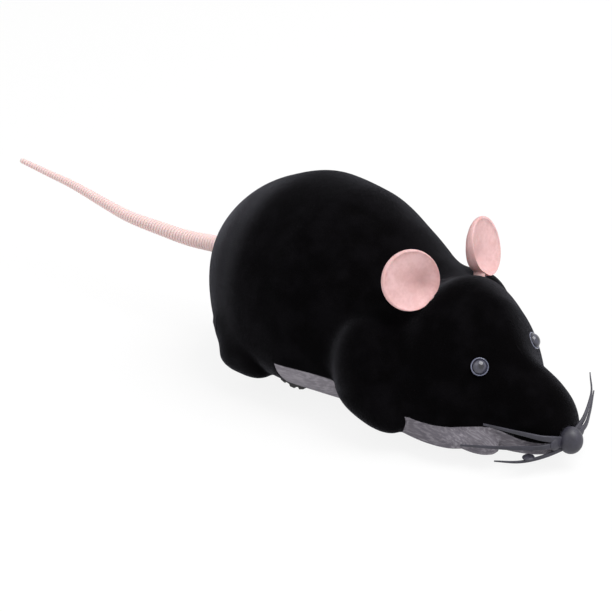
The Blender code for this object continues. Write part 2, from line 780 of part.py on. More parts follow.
def make_shells():
    upper = body_solid("upper_shell", finish="black_flock")
    belly = body_solid("belly_shell", finish="grey_flock")
    cavity = body_solid("cavity", -WALL)
    core = body_solid("shell_core", -WALL / 2)
    lowered = below_seam("belly_region", -GAP / 2)
    raised = below_seam("under_upper_shell", GAP / 2)
    keep_out = keep_inside(body_solid("belly_keep_out", GAP), below_seam("under_feet", GAP))

    cut(upper, cavity, raised)
    cut(belly, cavity)
    keep_inside(belly, lowered)
    upper_wall = body_solid("upper_wall", OVERRUN)
    cut(upper_wall, body_solid("upper_wall_inside", -WALL - GAP), below_seam("under_upper_wall", -OVERRUN))

    legs = (
        ("rear", (THIGH_SHARES, THIGH_RADII, 0), (REAR_FOOT_SHARES, REAR_FOOT_RADII, 0)),
        ("front", (FRONT_LEG_SHARES, FRONT_LEG_RADII, 0), (FRONT_FOOT_SHARES, FRONT_FOOT_RADII, FRONT_FOOT_PITCH)),
    )
    for end, leg_form, foot_form in legs:
        for side, word in ((1, "left"), (-1, "right")):
            leg = lobe(f"{end}_leg_{word}", side, *leg_form)
            join(leg, lobe(f"{end}_foot_{word}", side, *foot_form))
            cut(leg, core, keep_out)
            add_to(upper, leg)
    for side, word in ((1, "left"), (-1, "right")):
        paw = lobe(f"paw_{word}", side, PAW_SHARES, PAW_RADII)
        cut(paw, core)
        add_to(belly, paw)
    return upper, belly


def within_belly(piece):
    """Ends a boss or wall in the belly's skin, and keeps it clear of the upper shell where it rises past the seam."""
    keep_inside(piece, bpy.data.objects["boss_limit"])
    return cut(piece, bpy.data.objects["upper_wall"])


def lowest_skin(station, spread, radius):
    """The lowest height of the back's skin over a round post."""
    heights = []
    for k in range(8):
        share = (station + radius * math.cos(TURN * k / 8)) / BODY_LENGTH
        out = abs(spread + radius * math.sin(TURN * k / 8))
        heights.append(skin_point(share, angle_at_spread(share, out)).z)
    return min(heights)


def make_shell_fastening(upper, belly):
    """Posts down from the back, bosses up from the belly, and the screws that draw them together."""
    places = (
        (REAR_POST_STATION, POST_SPREAD),
        (REAR_POST_STATION, -POST_SPREAD),
        (FRONT_POST_STATION, 0),
    )
    for number, (station, spread) in enumerate(places, 1):
        top = lowest_skin(station, spread, POST_RADIUS) - WALL / 2
        low, joint = (station, spread, FLOOR_LEVEL), (station, spread, JOINT_HEIGHT)
        add_to(belly, within_belly(rod(f"boss_{number}", (station, spread, 0), joint, BOSS_RADIUS)))
        add_to(upper, rod(f"post_{number}", (station, spread, JOINT_HEIGHT + GAP), (station, spread, top), POST_RADIUS))
        seat = (station, spread, HEAD_SEAT_HEIGHT)
        under = (station, spread, -OVERRUN)
        open_in(belly, rod(f"head_recess_{number}", under, seat, SHELL_HEAD_RADIUS + GAP))
        screw_top = JOINT_HEIGHT + GAP + SHELL_SCREW_GRIP
        hole_end = (station, spread, screw_top + OVERRUN)
        hole = rod(f"screw_hole_{number}", low, hole_end, SHELL_SHANK_RADIUS + GAP)
        open_in(belly, hole)
        open_in(upper, hole)
        screw(
            f"shell_screw_{number}",
            (station, spread, HEAD_SEAT_HEIGHT - GAP),
            (0, 0, 1),
            screw_top - HEAD_SEAT_HEIGHT,
            SHELL_SHANK_RADIUS,
            SHELL_HEAD_RADIUS,
            SHELL_HEAD_HEIGHT,
        )


def make_wheel_and_castor_openings(upper, belly):
    """Slots for the drive wheels, and the round well that the castor swings in."""
    half = math.sqrt(TYRE_RADIUS**2 - (AXLE_HEIGHT - INNER_FLOOR) ** 2) + OVERRUN
    for side, word in ((1, "left"), (-1, "right")):
        edges = sorted((side * (WHEEL_INNER - SLOT_PLAY), side * (WHEEL_INNER + TYRE_WIDTH + SLOT_PLAY)))
        low = (AXLE_STATION - half, edges[0], -OVERRUN)
        high = (AXLE_STATION + half, edges[1], AXLE_HEIGHT)
        slot = box(f"wheel_slot_{word}", low, high)
        open_in(upper, slot)
        open_in(belly, slot)
    centre = (CASTOR_STATION, 0)
    outer = rod("well_wall", (*centre, 0), (*centre, WELL_TOP), WELL_RADIUS + WELL_WALL, steps=24)
    add_to(belly, within_belly(outer))
    open_in(
        belly,
        rod("well_hollow", (*centre, -OVERRUN), (*centre, WELL_CEILING), WELL_RADIUS, steps=24),
        rod("swivel_hole", (*centre, WELL_CEILING - OVERRUN), (*centre, WELL_TOP + OVERRUN), SWIVEL_RADIUS + GAP),
    )


def make_battery_box(belly):
    """The walls of the battery compartment, the seat of its door and the posts of the circuit board."""
    outer = BOX_HALF_WIDTH + BOX_WALL
    tongue = outer + DOOR_TONGUE
    ledge = box(
        "door_ledge",
        (BOX_REAR + GAP, outer - BOX_WALL / 2, INNER_FLOOR - WALL / 2),
        (BOX_FRONT - GAP, tongue + BOX_WALL, LEDGE_BOTTOM + LEDGE_THICKNESS),
    )
    walls = box("box_walls", (BOX_REAR, -outer, INNER_FLOOR - WALL / 2), (BOX_FRONT, outer, BOX_TOP))
    add_to(belly, walls, within_belly(ledge))
    inner_rear = BOX_REAR + BOX_WALL
    screw_at = tongue - DOOR_SCREW_INSET
    boss_top = LEDGE_BOTTOM + LEDGE_THICKNESS + SHELL_HEAD_HEIGHT * 2
    add_to(belly, rod("door_boss", (BOX_MIDDLE, screw_at, LEDGE_BOTTOM + GAP), (BOX_MIDDLE, screw_at, boss_top), BOARD_POST_RADIUS))
    open_in(
        belly,
        box("cell_space", (inner_rear, -BOX_HALF_WIDTH, 0), (BOX_INNER_FRONT, BOX_HALF_WIDTH, BOX_CEILING)),
        box("door_opening", (inner_rear, -BOX_HALF_WIDTH, 0), (BOX_INNER_FRONT, tongue, LEDGE_BOTTOM)),
        rod(
            "door_screw_hole",
            (BOX_MIDDLE, screw_at, LEDGE_BOTTOM - OVERRUN),
            (BOX_MIDDLE, screw_at, boss_top + OVERRUN),
            SMALL_SHANK_RADIUS + GAP,
        ),
    )
    for number, (station, spread) in enumerate(board_screw_places(), 1):
        base = (station, spread, BOX_TOP - BOX_WALL / 2)
        top = (station, spread, BOX_TOP + BOARD_POST_HEIGHT)
        add_to(belly, rod(f"board_post_{number}", base, top, BOARD_POST_RADIUS, steps=SCREW_STEPS))
        deep = (station, spread, BOX_TOP - BOX_WALL / 3)
        over = (station, spread, BOARD_TOP + OVERRUN)
        open_in(belly, rod(f"board_screw_hole_{number}", deep, over, SMALL_SHANK_RADIUS + GAP, steps=SCREW_STEPS))
    for word, station, thick in contact_places():
        slot_low = (station - GAP, -CONTACT_TAB_HALF_WIDTH - GAP, BOX_CEILING - OVERRUN)
        slot_high = (station + thick + GAP, CONTACT_TAB_HALF_WIDTH + GAP, BOX_TOP + OVERRUN)
        open_in(belly, box(f"{word}_slot", slot_low, slot_high))
    barrel_y, barrel_z = door_hinge()
    nubs = (BOX_REAR + BOX_WALL - DOOR_NUB_LENGTH, BOX_INNER_FRONT + DOOR_NUB_LENGTH)
    open_in(
        belly,
        rod("nub_holes", (nubs[0], barrel_y, barrel_z), (nubs[1], barrel_y, barrel_z), DOOR_NUB_RADIUS + GAP),
    )


def board_screw_places():
    """The two corners where the board is screwed down, as station and spread."""
    inset = 2 * BOARD_POST_RADIUS
    rear, front = BOX_REAR + inset, BOX_FRONT - inset
    spread = BOX_HALF_WIDTH - BOARD_POST_RADIUS
    return ((rear, -spread), (front, spread))


def contact_places():
    """Each battery contact: its name, where it starts and its thickness."""
    return (
        ("spring_plate", BOX_REAR + BOX_WALL + GAP, CONTACT_THICKNESS),
        ("contact_plate", CELLS_END + GAP, CONTACT_THICKNESS),
    )


def door_hinge():
    """Where the door's hinge line crosses the belly, as spread and height."""
    return (-BOX_HALF_WIDTH + BARREL_PLAY + DOOR_THICKNESS / 2, DOOR_BOTTOM + DOOR_THICKNESS / 2)


def make_switch_slot(belly):
    reach = SLIDER_LENGTH / 2 + SWITCH_TRAVEL / 2 + GAP
    half = SLIDER_WIDTH / 2 + GAP
    low = (SWITCH_STATION - half, -reach, 0)
    high = (SWITCH_STATION + half, reach, INNER_FLOOR + OVERRUN)
    open_in(belly, box("switch_slot", low, high))


# Face, ears and tail

def make_eyes(upper):
    along, height = EYE_SHARES
    angle = angle_at_height(along, height * BODY_HEIGHT)
    point, outward = skin_point(along, angle), skin_normal(along, angle)
    dome = (
        (0, EYE_DOME),
        (EYE_RADIUS * 0.45, EYE_DOME * 0.90),
        (EYE_RADIUS * 0.80, EYE_DOME * 0.55),
        (EYE_RADIUS, 0),
        (EYE_RADIUS, -EYE_SEAT_DEPTH + GAP),
        (EYE_PEG_RADIUS, -EYE_SEAT_DEPTH + GAP),
        (EYE_PEG_RADIUS, -EYE_PEG_LENGTH),
        (0, -EYE_PEG_LENGTH),
    )
    for side, word in ((1, "left"), (-1, "right")):
        at, normal = mirrored(point, side), mirrored(outward, side)
        seat = rod(f"eye_seat_{word}", at - normal * EYE_SEAT_DEPTH, at + normal * EYE_RADIUS, EYE_RADIUS + GAP)
        inside = at - normal * (WALL + EYE_PEG_LENGTH)
        hole = rod(f"eye_hole_{word}", inside, at, EYE_PEG_RADIUS + GAP, steps=SCREW_STEPS)
        open_in(upper, seat, hole)
        turned(f"eye_{word}", dome, at, normal, "clear_plastic", steps=EYE_STEPS)


def ear_profile():
    """The dish of an ear, from the middle of its hollow face round its rim to the middle of its back."""
    face = ((0.0, -1.0), (0.35, -0.90), (0.65, -0.60), (0.88, -0.20), (1.0, 0.04))
    back = ((0.98, 0.0), (0.85, -0.30), (0.62, -0.68), (0.35, -0.94), (0.0, -1.0))
    front = [(r * EAR_RADIUS, z * EAR_DEPTH) for r, z in face]
    rear = [(r * EAR_RADIUS, z * EAR_DEPTH - EAR_THICKNESS) for r, z in back]
    return front + rear


def make_ears(upper):
    along, spread = EAR_SHARES
    angle = angle_at_spread(along, spread * BODY_HALF_WIDTH)
    base, outward = skin_point(along, angle), skin_normal(along, angle)
    centre = base + Vector((-EAR_SET_BACK, EAR_SPLAY, EAR_RISE))
    facing = Vector(
        (
            math.cos(EAR_TILT) * math.cos(EAR_TURN),
            math.cos(EAR_TILT) * math.sin(EAR_TURN),
            math.sin(EAR_TILT),
        )
    )
    to_base = base - centre
    in_plane = (to_base - facing * to_base.dot(facing)).normalized()
    behind = centre + in_plane * EAR_STEM_OFFSET - facing * EAR_STEM_SET_BACK
    collar = base - outward * (WALL + EAR_BARB_DEPTH)
    barb = collar - outward * EAR_BARB_LENGTH
    route = (barb, collar, collar + outward * (GAP / 2), base + outward * EAR_STEM_RADIUS, behind)
    radii = (EAR_STEM_RADIUS, EAR_BARB_RADIUS, EAR_STEM_RADIUS, EAR_STEM_RADIUS, EAR_STEM_RADIUS)
    for side, word in ((1, "left"), (-1, "right")):
        stem = tube(f"ear_stem_{word}", [mirrored(point, side) for point in route], radii, sides=2)
        ear = turned(
            f"ear_{word}", ear_profile(), mirrored(centre, side), mirrored(facing, side), "pink_rubber", EAR_STEPS
        )
        join(ear, stem)
        inner = mirrored(base - outward * (WALL + EAR_BARB_DEPTH + EAR_BARB_LENGTH), side)
        outer = mirrored(base + outward * EAR_BARB_LENGTH, side)
        open_in(upper, rod(f"ear_hole_{word}", inner, outer, EAR_STEM_RADIUS + GAP))


def whisker_path(side, length_share, root_share, back_root, back_tip, lift):
    """Points along one whisker, which leaves the nose sideways and sweeps back."""
    step = WHISKER_LENGTH * length_share / WHISKER_STEPS
    at = Vector((NOSE_STATION, side * NOSE_RADII[1] * 0.7, NOSE_HEIGHT + NOSE_RADII[2] * root_share))
    points = [at.copy()]
    for k in range(WHISKER_STEPS):
        back = math.radians(back_root + (back_tip - back_root) * k / (WHISKER_STEPS - 1))
        rise = math.radians(lift)
        at += step * Vector(
            (-math.sin(back) * math.cos(rise), side * math.cos(back) * math.cos(rise), math.sin(rise))
        )
        points.append(at.copy())
    return points


def make_nose(upper, belly):
    centre = Vector((NOSE_STATION, 0, NOSE_HEIGHT))
    nose = ball("nose_and_whiskers", centre, NOSE_RADII, "slate_rubber", sides=16, rings=10)
    peg_end = centre - Vector((NOSE_PEG_LENGTH, 0, 0))
    barb_end = peg_end - Vector((NOSE_BARB_LENGTH, 0, 0))
    join(
        nose,
        rod("nose_peg", centre, peg_end, NOSE_PEG_RADIUS, steps=SCREW_STEPS),
        rod(
            "nose_barb",
            peg_end + Vector((GAP, 0, 0)),
            barb_end,
            NOSE_BARB_RADIUS,
            steps=SCREW_STEPS,
            end_radius=NOSE_PEG_RADIUS,
        ),
    )
    taper = [1 - (1 - WHISKER_TIP_SHARE) * k / WHISKER_STEPS for k in range(WHISKER_STEPS + 1)]
    for number, row in enumerate(WHISKER_SHARES, 1):
        radii = [WHISKER_ROOT_RADIUS * share for share in taper]
        join(nose, tube(f"whisker_{number}", whisker_path(*row), radii))
    socket = ball("nose_socket", centre, [radius + GAP for radius in NOSE_RADII], sides=16, rings=10)
    hole = rod("nose_peg_hole", centre, barb_end, NOSE_PEG_RADIUS + GAP, steps=SCREW_STEPS)
    pocket_start = peg_end + Vector((NOSE_BARB_LENGTH, 0, 0))
    pocket_end = barb_end - Vector((NOSE_BARB_LENGTH, 0, 0))
    pocket = rod("nose_barb_pocket", pocket_start, pocket_end, NOSE_BARB_RADIUS + GAP, steps=SCREW_STEPS)
    open_in(upper, socket)
    open_in(belly, socket, hole, pocket)


def make_tail(upper):
    """The rubber tail, whose origin is the upright line that it sways about."""
    pivot = Vector((TAIL_PIVOT_DEPTH, 0, TAIL_ROOT_HEIGHT))
    lines = [
        smooth_curve([row[0] for row in TAIL_ROUTE_SHARES], [row[column] for row in TAIL_ROUTE_SHARES])
        for column in (1, 2)
    ]
    plug = Vector((TAIL_PIVOT_DEPTH + TAIL_PLUG_LENGTH, 0, TAIL_ROOT_HEIGHT))
    points = [plug - pivot, Vector((TAIL_PIVOT_DEPTH, 0, 0))]
    radii = [TAIL_ROOT_RADIUS, TAIL_ROOT_RADIUS]
    for k in range(TAIL_STEPS + 1):
        share = k / TAIL_STEPS
        aside, up = (line(share) * TAIL_LENGTH for line in lines)
        points.append(Vector((-share * TAIL_LENGTH, aside, TAIL_ROOT_HEIGHT + up)) - pivot)
        radii.append(TAIL_ROOT_RADIUS + (TAIL_TIP_RADIUS - TAIL_ROOT_RADIUS) * share)
    tail = tube("tail", points, radii, "pink_rubber", at=pivot, sides=2)
    bulb_radii = (TAIL_BULB_RADIUS, TAIL_BULB_RADIUS, TAIL_BULB_RADIUS)
    aside, up = (line(1) * TAIL_LENGTH for line in lines)
    tip = (-TAIL_LENGTH, aside, TAIL_ROOT_HEIGHT + up)
    tip_radii = (TAIL_TIP_RADIUS, TAIL_TIP_RADIUS, TAIL_TIP_RADIUS)
    join(
        tail,
        ball("tail_bulb", plug, bulb_radii, sides=12, rings=8),
        ball("tail_tip", tip, tip_radii, sides=8, rings=6),
    )
    wall_low, wall_high = (-BODY_LENGTH / 4, 0, TAIL_ROOT_HEIGHT), (plug.x, 0, TAIL_ROOT_HEIGHT)
    open_in(upper, rod("tail_hole", wall_low, wall_high, TAIL_ROOT_RADIUS + TAIL_PLAY))


# Drive

def make_wheels():
    treads = []
    for tread in range(TREAD_COUNT):
        flank = (
            (TYRE_RADIUS - TREAD_DEPTH, -TREAD_ROOT_SHARE),
            (TYRE_RADIUS, -TREAD_TIP_SHARE),
            (TYRE_RADIUS, TREAD_TIP_SHARE),
            (TYRE_RADIUS - TREAD_DEPTH, TREAD_ROOT_SHARE),
        )
        for radius, share in flank:
            angle = (tread + share) * TURN / TREAD_COUNT - TURN / 4
            treads.append((radius * math.cos(angle), radius * math.sin(angle)))
    half = TYRE_WIDTH / 2
    rim, web = HUB_RADIUS - HUB_RIM, HUB_WEB / 2
    bore = AXLE_RADIUS + GAP
    hub = (
        (HUB_RADIUS, half),
        (HUB_RADIUS, -half),
        (rim, -half),
        (rim, -web),
        (HUB_BOSS_RADIUS, -web),
        (HUB_BOSS_RADIUS, -half),
        (bore, -half),
        (bore, half),
        (HUB_BOSS_RADIUS, half),
        (HUB_BOSS_RADIUS, web),
        (rim, web),
        (rim, half),
    )
    for side, word in ((1, "left"), (-1, "right")):
        middle = side * WHEEL_MIDDLE
        slab(
            f"tyre_{word}",
            [treads, ring_points(HUB_RADIUS + GAP, 2 * HUB_STEPS)],
            middle - half,
            middle + half,
            AXLE_CENTRE,
            "black_rubber",
        )
        at = (AXLE_STATION, middle, AXLE_HEIGHT)
        turned(f"wheel_hub_{word}", hub, at, (0, side, 0), "white_plastic", HUB_STEPS, closed=True)
    reach = WHEEL_MIDDLE + half - GAP
    across("drive_axle", AXLE_CENTRE, -reach, reach, AXLE_RADIUS, "steel")


def compound_gear(name, centre, wheel_teeth, wheel_phase, wheel_layer, pinion_teeth, pinion_phase, pinion_layer):
    """A wheel and a pinion moulded as one, which turn on a fixed pin."""
    half = GEAR_WIDTH / 2
    wheel = slab(
        name,
        [gear_outline(wheel_teeth, wheel_phase)],
        wheel_layer - half,
        wheel_layer + half,
        centre,
        "white_plastic",
    )
    pinion = slab(
        name + "_pinion",
        [gear_outline(pinion_teeth, pinion_phase)],
        pinion_layer - half - GAP,
        wheel_layer,
        centre,
    )
    join(wheel, pinion)
    reach = GEARBOX_HALF_WIDTH
    return cut(wheel, across(name + "_bore", centre, -reach, reach, PIN_RADIUS + GAP))


def make_gears():
    half = GEAR_WIDTH / 2
    pinion = slab(
        "motor_pinion",
        [gear_outline(PINION_TEETH, FIRST_TO_MOTOR + TURN / 2)],
        LAYER_ONE - half - GAP / 2,
        LAYER_ONE + half + GAP / 2,
        MOTOR_CENTRE,
        "brass",
    )
    shaft_low = MOTOR_FRONT - MOTOR_SHAFT_INSERT
    shaft_high = LAYER_ONE + half - GAP
    join(pinion, across("motor_shaft", MOTOR_CENTRE, shaft_low, shaft_high, MOTOR_SHAFT_RADIUS, steps=SCREW_STEPS))
    compound_gear(
        "compound_gear_1",
        FIRST_CENTRE,
        FIRST_WHEEL_TEETH,
        driven_phase(FIRST_WHEEL_TEETH, FIRST_TO_MOTOR),
        LAYER_ONE,
        FIRST_PINION_TEETH,
        SECOND_TO_FIRST + TURN / 2,
        LAYER_TWO,
    )
    compound_gear(
        "compound_gear_2",
        SECOND_CENTRE,
        SECOND_WHEEL_TEETH,
        driven_phase(SECOND_WHEEL_TEETH, SECOND_TO_FIRST),
        LAYER_TWO,
        SECOND_PINION_TEETH,
        AXLE_TO_SECOND + TURN / 2,
        LAYER_THREE,
    )
    slab(
        "axle_gear",
        [
            gear_outline(AXLE_GEAR_TEETH, driven_phase(AXLE_GEAR_TEETH, AXLE_TO_SECOND)),
            ring_points(AXLE_RADIUS + GAP),
        ],
        LAYER_THREE - half,
        LAYER_THREE + half,
        AXLE_CENTRE,
        "white_plastic",
    )
    pin_reach = GEARBOX_HALF_WIDTH + PLATE_THICKNESS - GAP
    for number, centre in enumerate((FIRST_CENTRE, SECOND_CENTRE), 1):
        across(f"gear_pin_{number}", centre, -pin_reach, pin_reach, PIN_RADIUS, "steel", steps=SCREW_STEPS)


def plate_outline():
    """The side plates' outline: round the motor, over the gears and down in front of the axle."""
    rear = MOTOR_CENTRE[0] - PLATE_MARGIN
    front = AXLE_STATION + PLATE_MARGIN
    top = FIRST_CENTRE[1] + PLATE_TOP_MARGIN
    bottom = INNER_FLOOR + 3 * GAP
    shoulder = SECOND_CENTRE[1] + PLATE_MARGIN / 2
    foot = (rear + AXLE_STATION) / 2
    return [
        (foot, bottom),
        (front, bottom),
        (front, shoulder),
        (front - PLATE_CHAMFER, shoulder + PLATE_CHAMFER),
        (SECOND_CENTRE[0], top - PLATE_CHAMFER / 2),
        (FIRST_CENTRE[0] + PLATE_CHAMFER, top),
        (rear + PLATE_CHAMFER, top),
        (rear, top - PLATE_CHAMFER),
        (rear, TAB_HEIGHT + PLATE_CHAMFER * 2),
        (rear + PLATE_CHAMFER, TAB_HEIGHT),
    ]


def pillar_places():
    """Where the pillars between the side plates stand, clear of every gear."""
    front = AXLE_STATION + PLATE_MARGIN - PILLAR_RADIUS - GAP * 2
    return ((front, SECOND_CENTRE[1] + PILLAR_RADIUS), (SECOND_CENTRE[0] - PLATE_MARGIN * 0.8, TAB_HEIGHT + OVERRUN))


def make_gearbox(belly):
    inner, outer = GEARBOX_HALF_WIDTH, GEARBOX_HALF_WIDTH + PLATE_THICKNESS
    housing = slab("gearbox_housing", [plate_outline()], inner, outer, finish="ivory_plastic")
    cover = slab("gearbox_cover", [plate_outline()], -outer, -inner, finish="ivory_plastic")
    overlap = PLATE_THICKNESS / 2
    for number, centre in enumerate(pillar_places(), 1):
        join(housing, across(f"pillar_{number}", centre, -inner + GAP, inner + overlap, PILLAR_RADIUS))
    rear = MOTOR_CENTRE[0] - MOTOR_HALF_WIDTH
    shelf_top = MOTOR_CENTRE[1] - MOTOR_RADIUS - GAP
    strap_bottom = MOTOR_CENTRE[1] + MOTOR_RADIUS + GAP
    wheel_tip = GEAR_MODULE * FIRST_WHEEL_TEETH / 2 + TOOTH_ADDENDUM
    strap_end = FIRST_CENTRE[0] - wheel_tip - 2 * GAP
    tab_low, tab_high = TAB_HEIGHT, TAB_HEIGHT + TAB_THICKNESS
    plate_front = AXLE_STATION + PLATE_MARGIN
    join(
        housing,
        box("motor_shelf", (rear, -inner + GAP, shelf_top - SHELF_THICKNESS), (strap_end, inner + overlap, shelf_top)),
        box("motor_strap", (rear, -overlap, strap_bottom), (strap_end, inner + overlap, strap_bottom + SHELF_THICKNESS)),
        box(
            "front_tab",
            (plate_front - PLATE_CHAMFER / 2, -inner + GAP, tab_low),
            (plate_front + TAB_LENGTH - PLATE_CHAMFER, inner + overlap, tab_high),
        ),
        box(
            "rear_tab",
            (MOTOR_CENTRE[0] - TAB_LENGTH / 2, -inner + GAP, tab_low),
            (MOTOR_CENTRE[0] + TAB_LENGTH / 2, inner + overlap, tab_high),
        ),
    )
    holes = [across("axle_bearing", AXLE_CENTRE, -outer - GAP, outer + GAP, AXLE_RADIUS + GAP)]
    for number, centre in enumerate((FIRST_CENTRE, SECOND_CENTRE), 1):
        holes.append(across(f"pin_hole_{number}", centre, -outer - GAP, outer + GAP, PIN_RADIUS + GAP))
    for number, centre in enumerate(pillar_places(), 1):
        holes.append(
            across(f"cover_hole_{number}", centre, -outer - GAP, -overlap, SMALL_SHANK_RADIUS + GAP, steps=SCREW_STEPS)
        )
        screw(
            f"cover_screw_{number}",
            (centre[0], -outer - GAP / 2, centre[1]),
            (0, 1, 0),
            inner,
            SMALL_SHANK_RADIUS,
            SMALL_HEAD_RADIUS,
            SMALL_HEAD_HEIGHT,
        )
    cut(housing, *holes)
    cut(cover, *holes)

    stations = (plate_front + TAB_LENGTH / 2 - PLATE_CHAMFER / 2, MOTOR_CENTRE[0])
    for number, station in enumerate(stations, 1):
        base, top = (station, 0, INNER_FLOOR - WALL / 2), (station, 0, TAB_HEIGHT - GAP)
        add_to(belly, rod(f"gearbox_boss_{number}", base, top, BOARD_POST_RADIUS, steps=SCREW_STEPS))
        low, high = (station, 0, INNER_FLOOR - GAP), (station, 0, tab_high + OVERRUN)
        hole = rod(f"gearbox_screw_hole_{number}", low, high, SMALL_SHANK_RADIUS + GAP, steps=SCREW_STEPS)
        open_in(belly, hole)
        cut(housing, hole)
        screw(
            f"gearbox_screw_{number}",
            (station, 0, tab_high + GAP / 2),
            (0, 0, -1),
            tab_high - INNER_FLOOR,
            SMALL_SHANK_RADIUS,
            SMALL_HEAD_RADIUS,
            SMALL_HEAD_HEIGHT,
        )


def make_motor():
    flat = math.acos(MOTOR_HALF_WIDTH / MOTOR_RADIUS)
    outline = []
    for start in (flat, flat + TURN / 2):
        for k in range(MOTOR_ARC_STEPS + 1):
            angle = start + (TURN / 2 - 2 * flat) * k / MOTOR_ARC_STEPS
            outline.append((MOTOR_RADIUS * math.cos(angle), MOTOR_RADIUS * math.sin(angle)))
    rear = MOTOR_FRONT - MOTOR_LENGTH
    motor = slab("motor", [outline], rear, MOTOR_FRONT, MOTOR_CENTRE, "steel")
    bearing_low = rear - MOTOR_BEARING_LENGTH
    join(
        motor,
        across("rear_bearing", MOTOR_CENTRE, bearing_low, rear + OVERRUN, MOTOR_BEARING_RADIUS),
        across(
            "front_bearing",
            MOTOR_CENTRE,
            MOTOR_FRONT - OVERRUN,
            MOTOR_FRONT + MOTOR_BEARING_LENGTH,
            MOTOR_BEARING_RADIUS,
        ),
    )
    top = MOTOR_CENTRE[1] + MOTOR_RADIUS + TERMINAL_RISE
    for number, (station, spread) in enumerate(terminal_places(), 1):
        low = (station - TERMINAL_WIDTH / 2, spread - TERMINAL_THICKNESS, MOTOR_CENTRE[1])
        high = (station + TERMINAL_WIDTH / 2, spread, top)
        join(motor, box(f"terminal_{number}", low, high))
    hole_low, hole_high = MOTOR_FRONT - MOTOR_SHAFT_INSERT - GAP, MOTOR_FRONT + 2 * MOTOR_BEARING_LENGTH
    return cut(motor, across("shaft_hole", MOTOR_CENTRE, hole_low, hole_high, MOTOR_SHAFT_RADIUS + GAP))


def terminal_places():
    """The motor's two terminals, as station and spread."""
    rear = MOTOR_FRONT - MOTOR_LENGTH + TERMINAL_THICKNESS / 2
    return ((MOTOR_CENTRE[0] - TERMINAL_SPREAD, rear), (MOTOR_CENTRE[0] + TERMINAL_SPREAD, rear))


# Castor

def make_castor():
    """The fork and its wheel, whose origins are the swivel line and the wheel's axle."""
    swivel = (CASTOR_STATION, 0)
    fork = turned(
        "castor_fork",
        ((0, CROWN_TOP), (CROWN_RADIUS, CROWN_TOP), (CROWN_RADIUS, CROWN_BOTTOM), (0, CROWN_BOTTOM)),
        (*swivel, 0),
        (0, 0, 1),
        "black_plastic",
        steps=24,
    )
    pin_top = WELL_TOP + GAP
    join(fork, rod("swivel_pin", (*swivel, CROWN_TOP - OVERRUN / 2), (*swivel, pin_top), SWIVEL_RADIUS))
    hub_station = CASTOR_STATION - CASTOR_TRAIL
    inner = CASTOR_WIDTH / 2 + GAP
    outer = inner + CHEEK_THICKNESS
    for side, word in ((1, "left"), (-1, "right")):
        edges = sorted((side * inner, side * outer))
        low = (hub_station - CHEEK_HALF_LENGTH, edges[0], CASTOR_RADIUS - CHEEK_HALF_LENGTH)
        high = (hub_station + CHEEK_HALF_LENGTH, edges[1], CROWN_TOP - CROWN_THICKNESS / 2)
        join(fork, box(f"cheek_{word}", low, high))
    axle_centre = (hub_station, CASTOR_RADIUS)
    reach = outer - GAP
    cut(fork, across("fork_bore", axle_centre, -outer - GAP, outer + GAP, CASTOR_AXLE_RADIUS + GAP, steps=SCREW_STEPS))
    screw_length = WELL_ROOF + OVERRUN
    hole_low = (*swivel, pin_top - screw_length - GAP)
    hole_high = (*swivel, pin_top + OVERRUN)
    cut(fork, rod("castor_screw_hole", hole_low, hole_high, SMALL_SHANK_RADIUS + GAP, steps=SCREW_STEPS))
    screw(
        "castor_screw",
        (*swivel, pin_top + GAP / 2),
        (0, 0, -1),
        screw_length,
        SMALL_SHANK_RADIUS,
        SWIVEL_RADIUS + 3 * GAP,
        SMALL_HEAD_HEIGHT,
    )
    across("castor_axle", axle_centre, -reach, reach, CASTOR_AXLE_RADIUS, "steel", steps=SCREW_STEPS)
    half, groove = CASTOR_WIDTH / 2, CASTOR_WIDTH / 4
    bore = CASTOR_AXLE_RADIUS + GAP
    tread = (
        (CASTOR_RADIUS - groove, half),
        (CASTOR_RADIUS, half - groove),
        (CASTOR_RADIUS, -half + groove),
        (CASTOR_RADIUS - groove, -half),
        (bore, -half),
        (bore, half),
    )
    at = (hub_station, 0, CASTOR_RADIUS)
    turned("castor_wheel", tread, at, (0, 1, 0), "black_plastic", CASTOR_STEPS, closed=True)


# Power and control

def make_battery_door():
    barrel_y, barrel_z = door_hinge()
    rear, front = BOX_REAR + BOX_WALL + GAP, BOX_INNER_FRONT - GAP
    tongue = BOX_HALF_WIDTH + BOX_WALL + DOOR_TONGUE
    pivot = (BOX_MIDDLE, barrel_y, barrel_z)
    door = box(
        "battery_door",
        (rear, barrel_y, DOOR_BOTTOM),
        (front, tongue - GAP, DOOR_TOP),
        "grey_flock",
        pivot,
    )
    nub_reach = DOOR_NUB_LENGTH - GAP
    join(
        door,
        rod("door_barrel", (rear, barrel_y, barrel_z), (front, barrel_y, barrel_z), DOOR_THICKNESS / 2),
        rod(
            "door_nubs",
            (BOX_REAR + BOX_WALL - nub_reach, barrel_y, barrel_z),
            (BOX_INNER_FRONT + nub_reach, barrel_y, barrel_z),
            DOOR_NUB_RADIUS,
            steps=SCREW_STEPS,
        ),
    )
    screw_at = tongue - DOOR_SCREW_INSET
    head_top = DOOR_BOTTOM + SMALL_HEAD_HEIGHT
    cut(
        door,
        rod("door_bore", (BOX_MIDDLE, screw_at, 0), (BOX_MIDDLE, screw_at, INNER_FLOOR), SMALL_SHANK_RADIUS + GAP),
        rod("door_recess", (BOX_MIDDLE, screw_at, 0), (BOX_MIDDLE, screw_at, head_top + GAP), SMALL_HEAD_RADIUS + GAP),
    )
    screw(
        "battery_door_screw",
        (BOX_MIDDLE, screw_at, head_top),
        (0, 0, 1),
        LEDGE_BOTTOM + DOOR_SCREW_REACH - head_top,
        SMALL_SHANK_RADIUS,
        SMALL_HEAD_RADIUS,
        SMALL_HEAD_HEIGHT,
    )


